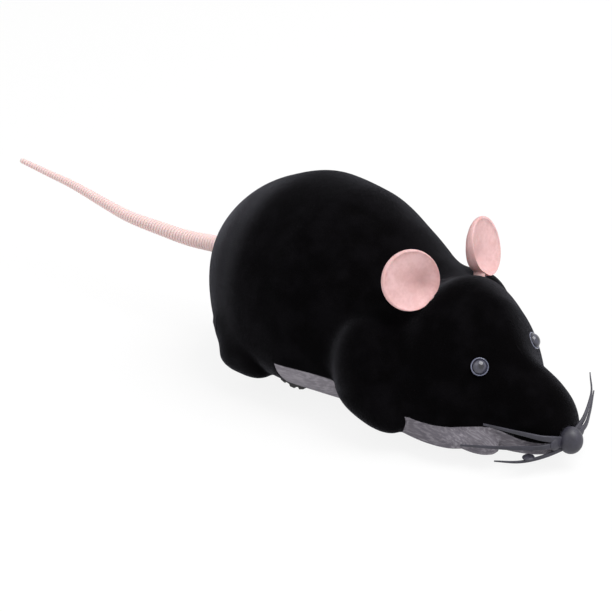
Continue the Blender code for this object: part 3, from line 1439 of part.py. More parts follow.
def make_cells():
    step = CELL_LENGTH - CELL_STEP
    profile = (
        (0, CELL_LENGTH / 2),
        (CELL_STEP_RADIUS, CELL_LENGTH / 2),
        (CELL_STEP_RADIUS, step - CELL_LENGTH / 2),
        (CELL_RADIUS, step - CELL_LENGTH / 2),
        (CELL_RADIUS, -CELL_LENGTH / 2),
        (0, -CELL_LENGTH / 2),
    )
    for number in range(CELL_COUNT):
        station = CELLS_START + number * CELL_PITCH + CELL_LENGTH / 2
        turned(f"button_cell_{number + 1}", profile, (station, 0, CELL_HEIGHT), (-1, 0, 0), "steel", CELL_SIDES)


def make_contacts():
    for word, station, thick in contact_places():
        face = box(
            f"battery_{word}",
            (station, -CONTACT_HALF_WIDTH, CELL_HEIGHT - CONTACT_HALF_WIDTH),
            (station + thick, CONTACT_HALF_WIDTH, CELL_HEIGHT + CONTACT_HALF_WIDTH),
            "steel",
        )
        tab = box(
            f"{word}_tab",
            (station, -CONTACT_TAB_HALF_WIDTH, CELL_HEIGHT),
            (station + thick, CONTACT_TAB_HALF_WIDTH, BOARD_BOTTOM - GAP),
        )
        join(face, tab)
    start = BOX_REAR + BOX_WALL + GAP + CONTACT_THICKNESS + GAP + SPRING_WIRE_RADIUS
    end = CELLS_START - GAP - SPRING_WIRE_RADIUS
    count = round(SPRING_TURNS * SPRING_POINTS_A_TURN)
    points = []
    for k in range(count + 1):
        share = k / count
        angle = share * SPRING_TURNS * TURN
        radius = SPRING_RADIUS * (1 - (1 - SPRING_TIP_SHARE) * share)
        points.append(
            (
                start + (end - start) * share,
                radius * math.cos(angle),
                CELL_HEIGHT + radius * math.sin(angle),
            )
        )
    tube("battery_spring", points, [SPRING_WIRE_RADIUS] * len(points), "steel")


def make_switch():
    floor = INNER_FLOOR + GAP
    half_length, half_width = SWITCH_LENGTH / 2, SWITCH_WIDTH / 2
    body = box(
        "switch_body",
        (SWITCH_STATION - half_width, -half_length, floor),
        (SWITCH_STATION + half_width, half_length, floor + SWITCH_HEIGHT),
        "black_plastic",
    )
    flange_x = SLIDER_WIDTH / 2 + SLIDER_FLANGE
    flange_y = SLIDER_LENGTH / 2 + SLIDER_FLANGE
    flange_low = floor + GAP
    flange_high = flange_low + SLIDER_FLANGE_THICKNESS
    reach = flange_y + SWITCH_TRAVEL / 2 + GAP
    cut(
        body,
        box(
            "switch_hollow",
            (SWITCH_STATION - flange_x - GAP, -reach, floor - OVERRUN),
            (SWITCH_STATION + flange_x + GAP, reach, flange_high + GAP),
        ),
    )
    off = -SWITCH_TRAVEL / 2
    pivot = (SWITCH_STATION, off, FLOOR_LEVEL)
    knob = box(
        "switch_slider",
        (SWITCH_STATION - SLIDER_WIDTH / 2, off - SLIDER_LENGTH / 2, FLOOR_LEVEL - SLIDER_PROUD),
        (SWITCH_STATION + SLIDER_WIDTH / 2, off + SLIDER_LENGTH / 2, flange_high),
        "black_plastic",
        pivot,
    )
    join(
        knob,
        box(
            "slider_flange",
            (SWITCH_STATION - flange_x, off - flange_y, flange_low),
            (SWITCH_STATION + flange_x, off + flange_y, flange_high),
        ),
    )


def make_board():
    rear = BOX_REAR - 2 * GAP
    front = rear + BOARD_LENGTH
    board = box(
        "circuit_board",
        (rear, -BOARD_HALF_WIDTH, BOARD_BOTTOM),
        (front, BOARD_HALF_WIDTH, BOARD_TOP),
        "green_board",
    )
    for number, (station, spread) in enumerate(board_screw_places(), 1):
        low, high = (station, spread, BOARD_BOTTOM - GAP), (station, spread, BOARD_TOP + GAP)
        cut(board, rod(f"board_bore_{number}", low, high, SMALL_SHANK_RADIUS + GAP, steps=SCREW_STEPS))
        screw(
            f"board_screw_{number}",
            (station, spread, BOARD_TOP + GAP / 2),
            (0, 0, -1),
            BOARD_THICKNESS + BOARD_POST_HEIGHT,
            SMALL_SHANK_RADIUS,
            SMALL_HEAD_RADIUS,
            SMALL_HEAD_HEIGHT,
        )
    base = BOARD_TOP + GAP
    long_side, short_side, height = CHIP_SIZE
    chip = box(
        "control_chip",
        (BOX_MIDDLE - long_side / 2, -short_side / 2, base),
        (BOX_MIDDLE + long_side / 2, short_side / 2, base + height),
        "black_plastic",
    )
    for leg in range(CHIP_LEG_COUNT):
        station = BOX_MIDDLE + long_side * ((leg + 0.5) / CHIP_LEG_COUNT - 0.5)
        half = CHIP_LEG_WIDTH / 2
        reach = short_side / 2 + CHIP_LEG_LENGTH
        low, high = (station - half, -reach, base), (station + half, reach, base + CHIP_LEG_THICKNESS)
        join(chip, box(f"chip_leg_{leg + 1}", low, high))
    neck = CAPACITOR_RADIUS - CAPACITOR_GROOVE
    capacitor = (
        (0, CAPACITOR_HEIGHT),
        (neck, CAPACITOR_HEIGHT),
        (CAPACITOR_RADIUS, CAPACITOR_HEIGHT - CAPACITOR_GROOVE),
        (CAPACITOR_RADIUS, 4 * CAPACITOR_GROOVE),
        (neck, 3 * CAPACITOR_GROOVE),
        (CAPACITOR_RADIUS, 2 * CAPACITOR_GROOVE),
        (CAPACITOR_RADIUS, 0),
        (0, 0),
    )
    inset = CAPACITOR_RADIUS + OVERRUN
    capacitor_at = (front - inset, -BOARD_HALF_WIDTH + inset, base)
    turned("capacitor", capacitor, capacitor_at, (0, 0, 1), "black_plastic", SMALL_STEPS)
    half, core = COIL_LENGTH / 2, COIL_RADIUS * COIL_CORE_SHARE
    bobbin = (
        (0, half),
        (COIL_RADIUS, half),
        (COIL_RADIUS, half - COIL_FLANGE),
        (core, half - COIL_FLANGE),
        (core, COIL_FLANGE - half),
        (COIL_RADIUS, COIL_FLANGE - half),
        (COIL_RADIUS, -half),
        (0, -half),
    )
    coil_at = (rear + COIL_RADIUS + OVERRUN, BOARD_HALF_WIDTH - half - OVERRUN, base + COIL_RADIUS)
    turned("receiver_coil", bobbin, coil_at, (0, 1, 0), "copper", SMALL_STEPS)


def wire(name, stops, finish):
    """A thin wire through its stops, rounded off between them."""
    curves = [smooth_curve(range(len(stops)), [stop[axis] for stop in stops]) for axis in range(3)]
    last = len(stops) - 1
    points = [[curve(last * k / WIRE_STEPS) for curve in curves] for k in range(WIRE_STEPS + 1)]
    tube(name, points, [WIRE_RADIUS] * len(points), finish)


def make_wires():
    motor_top = MOTOR_CENTRE[1] + MOTOR_RADIUS + TERMINAL_RISE
    crest = motor_top + WIRE_RISE
    landing = BOX_REAR + OVERRUN
    lane = WIRE_RADIUS * 4
    for (station, spread), word, finish, side in zip(terminal_places(), ("black", "red"), ("black_wire", "red_wire"), (-1, 1)):
        y_start = spread - TERMINAL_THICKNESS / 2
        y_end = y_start + (1 + side) * lane / 2 - lane
        stops = (
            (station, y_start, motor_top + GAP),
            (station + WIRE_RADIUS, y_start, motor_top + WIRE_RISE / 2),
            (station + PLATE_MARGIN, (y_start + y_end) / 2, crest),
            (AXLE_STATION, y_end, crest),
            (landing - PLATE_MARGIN / 2, y_end, (crest + BOARD_TOP) / 2),
            (landing, y_end, BOARD_TOP + GAP),
        )
        wire(f"motor_wire_{word}", stops, finish)
    switch_top = INNER_FLOOR + GAP + SWITCH_HEIGHT
    for side, word, finish in ((1, "red", "red_wire"), (-1, "black", "black_wire")):
        spread = side * SWITCH_LENGTH / 4
        reach = BOX_REAR + OVERRUN
        stops = (
            (SWITCH_STATION, spread, switch_top + GAP),
            (SWITCH_STATION - WIRE_RADIUS, spread * 1.2, (switch_top + BOARD_BOTTOM) / 2),
            (SWITCH_STATION + WIRE_RADIUS, spread * 1.4, BOARD_BOTTOM - WIRE_RADIUS * 5),
            (reach, spread * 1.5, BOARD_BOTTOM - WIRE_RADIUS * 2),
        )
        wire(f"switch_wire_{word}", stops, finish)


UPPER, BELLY = make_shells()
body_solid("boss_limit", -WALL / 2)
make_shell_fastening(UPPER, BELLY)
make_gearbox(BELLY)
make_battery_box(BELLY)
make_wheel_and_castor_openings(UPPER, BELLY)
make_switch_slot(BELLY)
make_eyes(UPPER)
make_ears(UPPER)
make_nose(UPPER, BELLY)
make_tail(UPPER)
make_wheels()
make_gears()
make_motor()
make_castor()
make_battery_door()
make_cells()
make_contacts()
make_switch()
make_board()
make_wires()
finish_shell(UPPER)
finish_shell(BELLY)
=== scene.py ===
# %% [markdown]
# # A motor-driven toy mouse
# The toy is a flocked shell in two halves that hides two driven wheels and a castor. The solids of
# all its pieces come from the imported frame. This lesson dresses them: it builds the pieces whose
# look the plain solids can't give, such as the flocking, the ribbed tail and the dished ears, and it
# paints every piece. Each step says what the thing is on the real toy and why it is made this way.

# %% Load the frame
import math

import bmesh
import bpy
from mathutils import Matrix, Quaternion, Vector
from mathutils.bvhtree import BVHTree
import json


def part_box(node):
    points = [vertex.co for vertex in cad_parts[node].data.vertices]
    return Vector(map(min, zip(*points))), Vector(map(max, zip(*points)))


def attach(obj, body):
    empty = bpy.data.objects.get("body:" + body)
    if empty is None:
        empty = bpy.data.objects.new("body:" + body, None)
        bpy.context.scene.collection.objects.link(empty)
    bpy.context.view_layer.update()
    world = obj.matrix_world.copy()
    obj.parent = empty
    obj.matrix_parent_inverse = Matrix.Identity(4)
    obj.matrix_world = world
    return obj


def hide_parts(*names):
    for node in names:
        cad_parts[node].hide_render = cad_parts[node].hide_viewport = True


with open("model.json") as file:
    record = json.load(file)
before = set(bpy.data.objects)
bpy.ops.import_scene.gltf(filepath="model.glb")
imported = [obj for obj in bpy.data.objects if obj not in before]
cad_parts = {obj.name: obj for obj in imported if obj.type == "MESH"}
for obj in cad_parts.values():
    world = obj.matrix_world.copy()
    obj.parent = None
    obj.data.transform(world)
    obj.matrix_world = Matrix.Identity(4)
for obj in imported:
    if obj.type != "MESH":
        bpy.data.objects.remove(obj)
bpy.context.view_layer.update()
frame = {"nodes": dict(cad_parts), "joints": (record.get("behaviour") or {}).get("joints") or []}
MM = 0.001
TURN = 2 * math.pi
print("nodes loaded:", len(frame["nodes"]))

# %% [markdown]
# ## Camera
# The picture was taken from the mouse's front right, from a little above, with a long lens, so lines
# that run away from the camera hardly draw together. The camera looks straight at the middle of the frame
# with no lens shift, so that the same camera can walk round the toy for other views. A small roll
# tips the picture as the photographer's camera was tipped.

# %% Camera
CAMERA_AZIMUTH = math.radians(50.486)
CAMERA_ELEVATION = math.radians(24.063)
CAMERA_ROLL = math.radians(-4.5)
CAMERA_DISTANCE = 547.93 * MM
CAMERA_AIM = Vector((13.105, 0, 14.937)) * MM
CAMERA_LENS = 120

camera = bpy.data.objects.new("camera", bpy.data.cameras.new("camera"))
bpy.context.scene.collection.objects.link(camera)
bpy.context.scene.camera = camera
camera.data.lens = CAMERA_LENS
camera.data.clip_start, camera.data.clip_end = 10 * MM, 100
towards_camera = Vector(
    (
        math.sin(CAMERA_AZIMUTH) * math.cos(CAMERA_ELEVATION),
        -math.cos(CAMERA_AZIMUTH) * math.cos(CAMERA_ELEVATION),
        math.sin(CAMERA_ELEVATION),
    )
)
camera.location = CAMERA_AIM + towards_camera * CAMERA_DISTANCE
camera.rotation_mode = "QUATERNION"
looking = (-towards_camera).to_track_quat("-Z", "Y")
camera.rotation_quaternion = looking @ Quaternion((0, 0, 1), CAMERA_ROLL)
bpy.context.scene.view_settings.view_transform = "Standard"
print("camera at", [round(v, 4) for v in camera.location])

# %% [markdown]
# ## Writing patterns as sums
# A finish is a pattern of numbers and colours over a surface. Wiring its nodes one by one hides the
# idea, so this small class wraps one socket of a material: adding, subtracting or multiplying
# patterns adds the Math node that does it, and `node` adds any other node.

# %% Patterns
class Pattern:
    """A value or colour that changes over a surface, taken from one socket of a material."""

    def __init__(self, tree, socket):
        self.tree, self.socket = tree, socket

    def node(self, kind, settings=None, inputs=None, output=0):
        made = self.tree.nodes.new(kind)
        for name, value in (settings or {}).items():
            if name == "stops":
                ramp = made.color_ramp.elements
                while len(ramp) < len(value):
                    ramp.new(1)
                for stop, (at, colour) in zip(ramp, value):
                    stop.position, stop.color = at, (*colour, 1)
            else:
                setattr(made, name, value)
        for name, value in (inputs or {}).items():
            if isinstance(value, Pattern):
                self.tree.links.new(value.socket, made.inputs[name])
            else:
                made.inputs[name].default_value = value
        return Pattern(self.tree, made.outputs[output])

    def maths(self, operation, first, second=0.0):
        return self.node("ShaderNodeMath", {"operation": operation}, {0: first, 1: second})

    def __add__(self, other):
        return self.maths("ADD", self, other)

    def __rsub__(self, other):
        return self.maths("SUBTRACT", other, self)

    def __mul__(self, other):
        return self.maths("MULTIPLY", self, other)

    __radd__ = __add__
    __rmul__ = __mul__

    def wave(self):
        return self.maths("SINE", self)

    def between(self, low, high):
        """0 below low and 1 above high, with a smooth step from one to the other."""
        return self.node(
            "ShaderNodeMapRange",
            {"interpolation_type": "SMOOTHSTEP"},
            {"Value": self, "From Min": low, "From Max": high},
        )

    def blend(self, first, second):
        """The first colour where this is 0 and the second where it is 1."""
        colours = {
            slot: value if isinstance(value, Pattern) else (*value, 1)
            for slot, value in ((6, first), (7, second))
        }
        return self.node("ShaderNodeMix", {"data_type": "RGBA"}, {0: self, **colours}, output=2)

    def stretched(self, scale):
        return self.node("ShaderNodeMapping", inputs={"Vector": self, "Scale": scale})

    def clouds(self, size, detail=2.0, roughness=0.5):
        """Soft noise from 0 to 1 whose blots are about this wide."""
        return self.node(
            "ShaderNodeTexNoise",
            inputs={"Vector": self, "Scale": 1 / size, "Detail": detail, "Roughness": roughness},
        )

    def cells(self, size):
        """The distance to the nearest of scattered points about this far apart."""
        return self.node("ShaderNodeTexVoronoi", inputs={"Vector": self, "Scale": 1 / size})

    def kept(self, name):
        """The number that a piece keeps on its points under this name."""
        return self.node("ShaderNodeAttribute", {"attribute_name": name}, output="Fac")

    def part(self, axis):
        return self.node("ShaderNodeSeparateXYZ", inputs={0: self}, output="XYZ".index(axis))


print("patterns ready")

# %% [markdown]
# A finish starts as one Principled shader. What is the same all over, such as how rough a rubber is
# in general, goes straight onto the shader's own sockets. What changes over the surface is linked to
# its colour and roughness, and fine relief goes through a Bump node.

# %% Finishes
FINISH = {}


def new_finish(name, **fixed):
    """A material with one Principled shader, and the place on the surface as a pattern."""
    material = bpy.data.materials.new(name + "_finish")
    material.use_nodes = True
    tree = material.node_tree
    shader = next(node for node in tree.nodes if node.type == "BSDF_PRINCIPLED")
    for socket, value in fixed.items():
        socket = socket.replace("_", " ")
        shader.inputs[socket].default_value = value
    place = Pattern(tree, tree.nodes.new("ShaderNodeTexCoord").outputs["Object"])
    FINISH[name] = material
    return place, shader


def feed(shader, **patterns):
    for socket, pattern in patterns.items():
        pattern.tree.links.new(pattern.socket, shader.inputs[socket.replace("_", " ")])


def relief(shader, height, deep, strength=1.0):
    """Raises the surface by this height pattern, whose 1 stands for the depth in metres."""
    bump = height.node(
        "ShaderNodeBump", inputs={"Height": height, "Distance": deep, "Strength": strength}
    )
    feed(shader, Normal=bump)


# %% [markdown]
# ## Flocking
# Flock is a pile of nylon fibres, each about half a millimetre long, that stand on glue. Seen from
# straight above, the light falls between them and the surface is nearly black. Seen at a slant, the
# tips catch the light, which the shader's sheen gives. The pile leans different ways in different
# places, so a flocked shell has soft paler clouds, and up close it is speckled by single tips.

# %% Black flock
def flock(name, deep, pale, sheen, tint, strokes=False):
    place, shader = new_finish(
        name,
        Sheen_Weight=sheen,
        Sheen_Roughness=0.3,
        Sheen_Tint=(*tint, 1),
        Specular_IOR_Level=0.0,
    )
    lean = (place.clouds(14 * MM, 3, 0.55) + 0.6 * place.clouds(5 * MM, 2)).between(0.68, 1.05)
    tips = place.clouds(0.28 * MM, 2, 0.7)
    speckle = tips.between(0.45, 0.8)
    amount = 0.75 * lean + 0.35 * speckle
    height = tips
    if strokes:
        hairs = place.stretched((0.10, 1.0, 0.8)).clouds(0.42 * MM, 2, 0.55)
        belly = (0.0 - place.part("X")).between(-62 * MM, -48 * MM)
        amount = 0.25 * lean + 0.6 * hairs.between(0.40, 0.72) + 0.45 * belly
        height = hairs + 0.5 * tips
    feed(shader, Base_Color=amount.blend(deep, pale), Roughness=0.9 + 0.1 * speckle)
    relief(shader, height, 0.25 * MM, 0.6)


flock("black_flock", (0.0020, 0.0018, 0.0020), (0.0046, 0.0042, 0.0050), 0.22, (0.88, 0.88, 1.0))
flock("grey_flock", (0.135, 0.125, 0.145), (0.32, 0.30, 0.33), 0.05, (0.9, 0.92, 1.0), strokes=True)
print("flock finishes made")

# %% [markdown]
# ## Rubber
# The ears and tail are one soft pale pink rubber with a bloom of powder on it: the powder is paler
# and rougher in blots. The nose and whiskers are a dark slate rubber, moulded with a soft shine.

# %% Rubber finishes
def rubber(name, deep, pale, roughness, grain, see_into=0.0, paler=None):
    place, shader = new_finish(name, Subsurface_Weight=see_into, Subsurface_Scale=1.2 * MM)
    bloom = (place.clouds(3.5 * MM, 3, 0.6) + 0.5 * place.clouds(0.8 * MM, 2)).between(0.5, 1.0)
    fine = place.clouds(grain, 2, 0.6)
    colour = (bloom * 0.8 + fine * 0.2).blend(deep, pale)
    if paler:
        # the tail, behind the body, is painted paler
        behind = (0.0 - place.part("X")).between(11 * MM, 16 * MM)
        colour = behind.blend(colour, paler)
        # painted shade: the grooves of the tail and the pit of an ear are painted darker
        colour = (0.55 * place.kept("groove")).blend(colour, [0.8 * part for part in deep])
    feed(shader, Base_Color=colour, Roughness=roughness + 0.15 * bloom)
    relief(shader, fine, 0.06 * MM, 0.5)


rubber(
    "pink_rubber",
    (0.63, 0.37, 0.36),
    (0.76, 0.50, 0.50),
    0.5,
    0.3 * MM,
    see_into=0.12,
    paler=(0.86, 0.66, 0.64),
)
rubber("slate_rubber", (0.020, 0.019, 0.028), (0.042, 0.040, 0.058), 0.42, 0.4 * MM)
rubber("black_rubber", (0.012, 0.012, 0.012), (0.035, 0.034, 0.033), 0.65, 0.35 * MM)
print("rubber finishes made")

# %% [markdown]
# ## Moulded plastic
# Moulded plastic is never one flat tone: where the melt flowed it is a shade lighter, the tool leaves
# a fine grain, and handling polishes it in blots. One helper gives each colour those three things.

# %% Plastic finishes
def plastic(name, deep, pale, roughness, grain=0.25 * MM, **fixed):
    place, shader = new_finish(name, **fixed)
    flow = place.stretched((1.0, 0.35, 0.8)).clouds(6 * MM, 3, 0.55).between(0.3, 0.7)
    spark = place.cells(grain)
    feed(
        shader,
        Base_Color=flow.blend(deep, pale),
        Roughness=roughness + 0.12 * place.clouds(4 * MM, 3),
    )
    relief(shader, spark, 0.02 * MM, 0.35)


plastic("black_plastic", (0.012, 0.012, 0.013), (0.03, 0.03, 0.032), 0.38)
plastic("white_plastic", (0.70, 0.70, 0.67), (0.82, 0.82, 0.79), 0.34)
plastic("ivory_plastic", (0.62, 0.55, 0.40), (0.74, 0.67, 0.51), 0.36)
plastic("red_wire", (0.42, 0.015, 0.015), (0.60, 0.035, 0.03), 0.36)
plastic("black_wire", (0.012, 0.012, 0.013), (0.035, 0.035, 0.035), 0.36)
print("plastic finishes made")

# %% [markdown]
# ## Metal
# Screws, pins and battery cans are drawn or turned, which leaves fine lines round or along them, and
# a thin dull film in blots. Copper is wound wire, so it has tight ridges round the coil.

# %% Metal finishes
def metal(name, dull, bright, roughness, lines=0.12 * MM):
    place, shader = new_finish(name, Metallic=1.0)
    film = place.clouds(2.5 * MM, 4, 0.6).between(0.35, 0.75)
    drawn = place.stretched((1.0, 0.06, 1.0)).clouds(lines, 2, 0.6)
    feed(
        shader,
        Base_Color=film.blend(bright, dull),
        Roughness=roughness + 0.18 * film + 0.08 * drawn,
    )
    relief(shader, drawn, 0.01 * MM, 0.4)


metal("steel", (0.42, 0.42, 0.43), (0.66, 0.66, 0.67), 0.22)
metal("brass", (0.50, 0.34, 0.12), (0.80, 0.58, 0.26), 0.24)
metal("copper", (0.42, 0.17, 0.07), (0.80, 0.40, 0.22), 0.25)
print("metal finishes made")

# %% [markdown]
# ## Circuit board
# The board is green lacquer over copper tracks. The tracks show through as lighter bands that run
# straight along the board, and the lacquer is smooth and glossy between them.

# %% Circuit board finish
place, shader = new_finish("green_board", Coat_Weight=0.4, Coat_Roughness=0.1)
TRACK_PITCH = 1.6 * MM
across_board = (place.part("Y") * (TURN / TRACK_PITCH)).wave().between(0.35, 0.6)
along_board = (place.part("X") * (TURN / (4 * TRACK_PITCH))).wave().between(0.9, 0.97)
tracks = across_board.maths("MAXIMUM", across_board, along_board)
tracks = tracks * place.clouds(5 * MM, 2).between(0.42, 0.5)
feed(
    shader,
    Base_Color=tracks.blend((0.008, 0.09, 0.035), (0.02, 0.20, 0.075)),
    Roughness=0.25 + 0.15 * place.clouds(3 * MM, 3),
)
relief(shader, tracks, 0.04 * MM, 0.5)
print("board finish made")

# %% [markdown]
# ## Eyes
# Each eye is a smoky clear bead that sits on a black seat. Through its middle the seat shows dark,
# and round its edge a pale ring is painted into its colour as a highlight, where the real bead gathers
# light. The rings are painted by the distance from the bead's own axis, which the piece carries as an
# attribute.

# %% Eye finish
place, shader = new_finish(
    "clear_plastic",
    Coat_Weight=0.35,
    Coat_Roughness=0.06,
    Transmission_Weight=0.2,
    IOR=1.49,
)
ring = place.kept("reach")
smoke = place.clouds(1.2 * MM, 3, 0.6)
# painted highlight: the pale stop at 0.90 is the ring of light round the bead's edge
tone = ring.node(
    "ShaderNodeValToRGB",
    {
        "stops": (
            (0.0, (0.004, 0.004, 0.008)),
            (0.22, (0.006, 0.006, 0.011)),
            (0.46, (0.050, 0.050, 0.078)),
            (0.62, (0.052, 0.052, 0.082)),
            (0.76, (0.022, 0.022, 0.036)),
            (0.84, (0.030, 0.031, 0.050)),
            (0.90, (0.30, 0.32, 0.45)),
            (1.0, (0.12, 0.125, 0.18)),
        )
    },
    {"Fac": ring},
)
feed(
    shader,
    Base_Color=(0.3 * smoke).blend(tone, (0.12, 0.12, 0.16)),
    Roughness=0.12 + 0.12 * smoke,
)
relief(shader, smoke, 0.03 * MM, 0.3)
print("eye finish made")

# %% [markdown]
# ## Painting the solids
# Every solid of the frame has a slot that names its finish. The solids keep their shape, and each
# slot gets the finish made above, also inside the shell where only an opened toy would show it.

# %% Paint the solids
for solid in frame["nodes"].values():
    for place_in_solid, old in enumerate(solid.data.materials):
        solid.data.materials[place_in_solid] = FINISH[old.name.split(".")[0]]
print("solids painted:", len(frame["nodes"]))

# %% [markdown]
# ## Tools for modelling
# The steps below model as by hand: a primitive is added, shaped in edit mode, finished with modifiers
# that are applied, and left with its place in its mesh. These helpers do what repeats.

# %% Modelling helpers
def only(thing):
    """Selects one object and makes it the active one."""
    bpy.ops.object.select_all(action="DESELECT")
    thing.select_set(True)
    bpy.context.view_layer.objects.active = thing
    return thing


def fix_place(thing):
    """Moves an object's place, turn and scale into its mesh."""
    only(thing)
    bpy.ops.object.transform_apply(location=True, rotation=True, scale=True)
    return thing


def apply_modifier(thing, kind, **settings):
    only(thing)
    modifier = thing.modifiers.new(kind.lower(), kind)
    for name, value in settings.items():
        setattr(modifier, name, value)
    bpy.ops.object.modifier_apply(modifier=modifier.name)
    return thing


def carve(thing, operation, *tools, solver="EXACT"):
    """Cuts, joins or intersects with each tool, and removes the tools."""
    for tool in tools:
        apply_modifier(thing, "BOOLEAN", operation=operation, object=tool, solver=solver)
        bpy.data.objects.remove(tool)
    return thing


def face_outwards(thing):
    only(thing)
    bpy.ops.object.mode_set(mode="EDIT")
    bpy.ops.mesh.select_all(action="SELECT")
    bpy.ops.mesh.remove_doubles(threshold=0.001 * MM)
    bpy.ops.mesh.normals_make_consistent(inside=False)
    bpy.ops.object.mode_set(mode="OBJECT")
    return thing


def dress(piece, name, slot, body, *stands_for, smooth=40):
    """Names a finished piece, paints it and hangs it on its body."""
    piece.name = piece.data.name = name
    piece.data.materials.clear()
    piece.data.materials.append(FINISH[slot])
    only(piece)
    bpy.ops.object.shade_smooth_by_angle(angle=math.radians(smooth))
    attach(piece, body)
    if stands_for:
        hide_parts(*stands_for)
    print(name, "faces:", len(piece.data.polygons))
    return piece


def own_copy(piece):
    """A second piece with a mesh of its own."""
    twin = piece.copy()
    twin.data = piece.data.copy()
    bpy.context.scene.collection.objects.link(twin)
    return twin


def mirrored_copy(piece):
    """A copy on the other side of the mouse."""
    twin = own_copy(piece)
    twin.data.transform(Matrix.Scale(-1, 4, (0, 1, 0)))
    return face_outwards(twin)


def ball(centre, radii, segments=48, rings=32, turn=(0, 0, 0)):
    bpy.ops.mesh.primitive_uv_sphere_add(
        segments=segments, ring_count=rings, radius=1, location=centre, rotation=turn, scale=radii
    )
    return fix_place(bpy.context.object)


def rod(start, end, radius, sides=48):
    start, end = Vector(start), Vector(end)
    bpy.ops.mesh.primitive_cylinder_add(
        vertices=sides,
        radius=radius,
        depth=(end - start).length,
        location=(start + end) / 2,
        rotation=(end - start).to_track_quat("Z", "Y").to_euler(),
    )
    return fix_place(bpy.context.object)


def block(low, high):
    low, high = Vector(low), Vector(high)
    bpy.ops.mesh.primitive_cube_add(size=1, location=(low + high) / 2, scale=high - low)
    return fix_place(bpy.context.object)


def turned(rings, sides=48):
    """A round piece made ring by ring: a circle is extruded along Z and scaled to each radius."""
    first = rings[0]
    bpy.ops.mesh.primitive_circle_add(vertices=sides, radius=first[0], location=(0, 0, first[1]))
    piece = fix_place(bpy.context.object)
    bpy.ops.object.mode_set(mode="EDIT")
    bpy.ops.mesh.select_all(action="SELECT")
    for (radius, height), (next_radius, next_height) in zip(rings, rings[1:]):
        bpy.ops.mesh.extrude_region_move(
            TRANSFORM_OT_translate={"value": (0, 0, next_height - height)}
        )
        grow = next_radius / radius
        bpy.ops.transform.resize(value=(grow, grow, 1), center_override=(0, 0, next_height))
    bpy.ops.mesh.select_all(action="DESELECT")
    bpy.ops.object.mode_set(mode="OBJECT")
    close_ends(piece)
    return face_outwards(piece)


def close_ends(piece):
    """Fills every open edge loop with a face."""
    only(piece)
    bpy.ops.object.mode_set(mode="EDIT")
    bpy.ops.mesh.select_mode(type="EDGE")
    bpy.ops.mesh.select_all(action="DESELECT")
    bpy.ops.mesh.select_non_manifold(extend=False)
    bpy.ops.mesh.edge_face_add()
    bpy.ops.mesh.select_mode(type="VERT")
    bpy.ops.object.mode_set(mode="OBJECT")


def aim(piece, at, axis):
    """Turns a piece that was made along Z to point along an axis, and moves it to its place."""
    turn = Vector(axis).to_track_quat("Z", "Y").to_matrix().to_4x4()
    piece.matrix_world = Matrix.Translation(at) @ turn
    return fix_place(piece)


print("helpers ready")

# %% [markdown]
# ## The body's form
# The body is a loft: at each share of its length it has a half width, a top, a bottom and a level at
# which it is widest, and its section there is a fuller or leaner oval. The solids have nearly the same
# figures. Here the head and the tip of the snout are a little fuller, and there are many more facets.

# %% The body's form
BODY_LENGTH, BODY_HALF_WIDTH, BODY_HEIGHT = 121.0 * MM, 28.6 * MM, 53.6 * MM
REAR_OF_BODY = -14.25 * MM
LOWER_FULLNESS = 2.6
# station, half width, top, bottom, widest level, fullness above it
SECTION_SHARES = (
    (0.000, 0.070, 0.422, 0.328, 0.403, 2.15),
    (0.025, 0.367, 0.627, 0.179, 0.403, 2.15),
    (0.083, 0.647, 0.795, 0.104, 0.366, 2.15),
    (0.182, 0.892, 0.940, 0.071, 0.328, 2.15),
    (0.281, 1.000, 1.000, 0.071, 0.328, 2.15),
    (0.380, 0.997, 0.978, 0.071, 0.310, 2.15),
    (0.479, 0.920, 0.875, 0.071, 0.291, 2.15),
    (0.579, 0.822, 0.731, 0.071, 0.272, 2.15),
    (0.653, 0.762, 0.683, 0.067, 0.235, 2.00),
    (0.727, 0.730, 0.738, 0.030, 0.198, 1.95),
    (0.802, 0.608, 0.695, 0.019, 0.170, 1.76),
    (0.876, 0.366, 0.480, 0.024, 0.160, 1.72),
    (0.942, 0.318, 0.378, 0.049, 0.151, 1.95),
    (0.982, 0.225, 0.295, 0.075, 0.145, 2.00),
    (1.000, 0.070, 0.179, 0.104, 0.132, 2.00),
)
# station and height of the line where black meets grey
SEAM_SHARES = (
    (-0.100, -0.050),
    (0.102, -0.050),
    (0.134, 0.160),
    (0.198, 0.176),
    (0.298, 0.244),
    (0.380, 0.276),
    (0.479, 0.276),
    (0.562, 0.263),
    (0.645, 0.228),
    (0.711, 0.200),
    (0.785, 0.177),
    (0.868, 0.176),
    (1.000, 0.147),
    (1.100, 0.143),
)


def smooth_curve(stations, values):
    """A curve through the values that never overshoots them."""
    steps = [b - a for a, b in zip(stations, stations[1:])]
    rises = [(b - a) / step for a, b, step in zip(values, values[1:], steps)]
    slopes = [rises[0]]
    for k in range(1, len(rises)):
        slope = 0.0
        if rises[k - 1] * rises[k] > 0:
            before, after = 2 * steps[k] + steps[k - 1], steps[k] + 2 * steps[k - 1]
            slope = (before + after) / (before / rises[k - 1] + after / rises[k])
        slopes.append(slope)
    slopes.append(rises[-1])

    def value(at):
        k = 0
        while k < len(steps) - 1 and at > stations[k + 1]:
            k += 1
        t = (at - stations[k]) / steps[k]
        start = (1 + 2 * t) * (1 - t) ** 2 * values[k] + t * (1 - t) ** 2 * steps[k] * slopes[k]
        end = t**2 * (3 - 2 * t) * values[k + 1] - t**2 * (1 - t) * steps[k] * slopes[k + 1]
        return start + end

    return value


STATIONS = [row[0] for row in SECTION_SHARES]
HALF_WIDTH, TOP, BOTTOM, LEVEL, FULLNESS = (
    smooth_curve(STATIONS, [row[column] for row in SECTION_SHARES]) for column in range(1, 6)
)
SEAM = smooth_curve([row[0] for row in SEAM_SHARES], [row[1] for row in SEAM_SHARES])


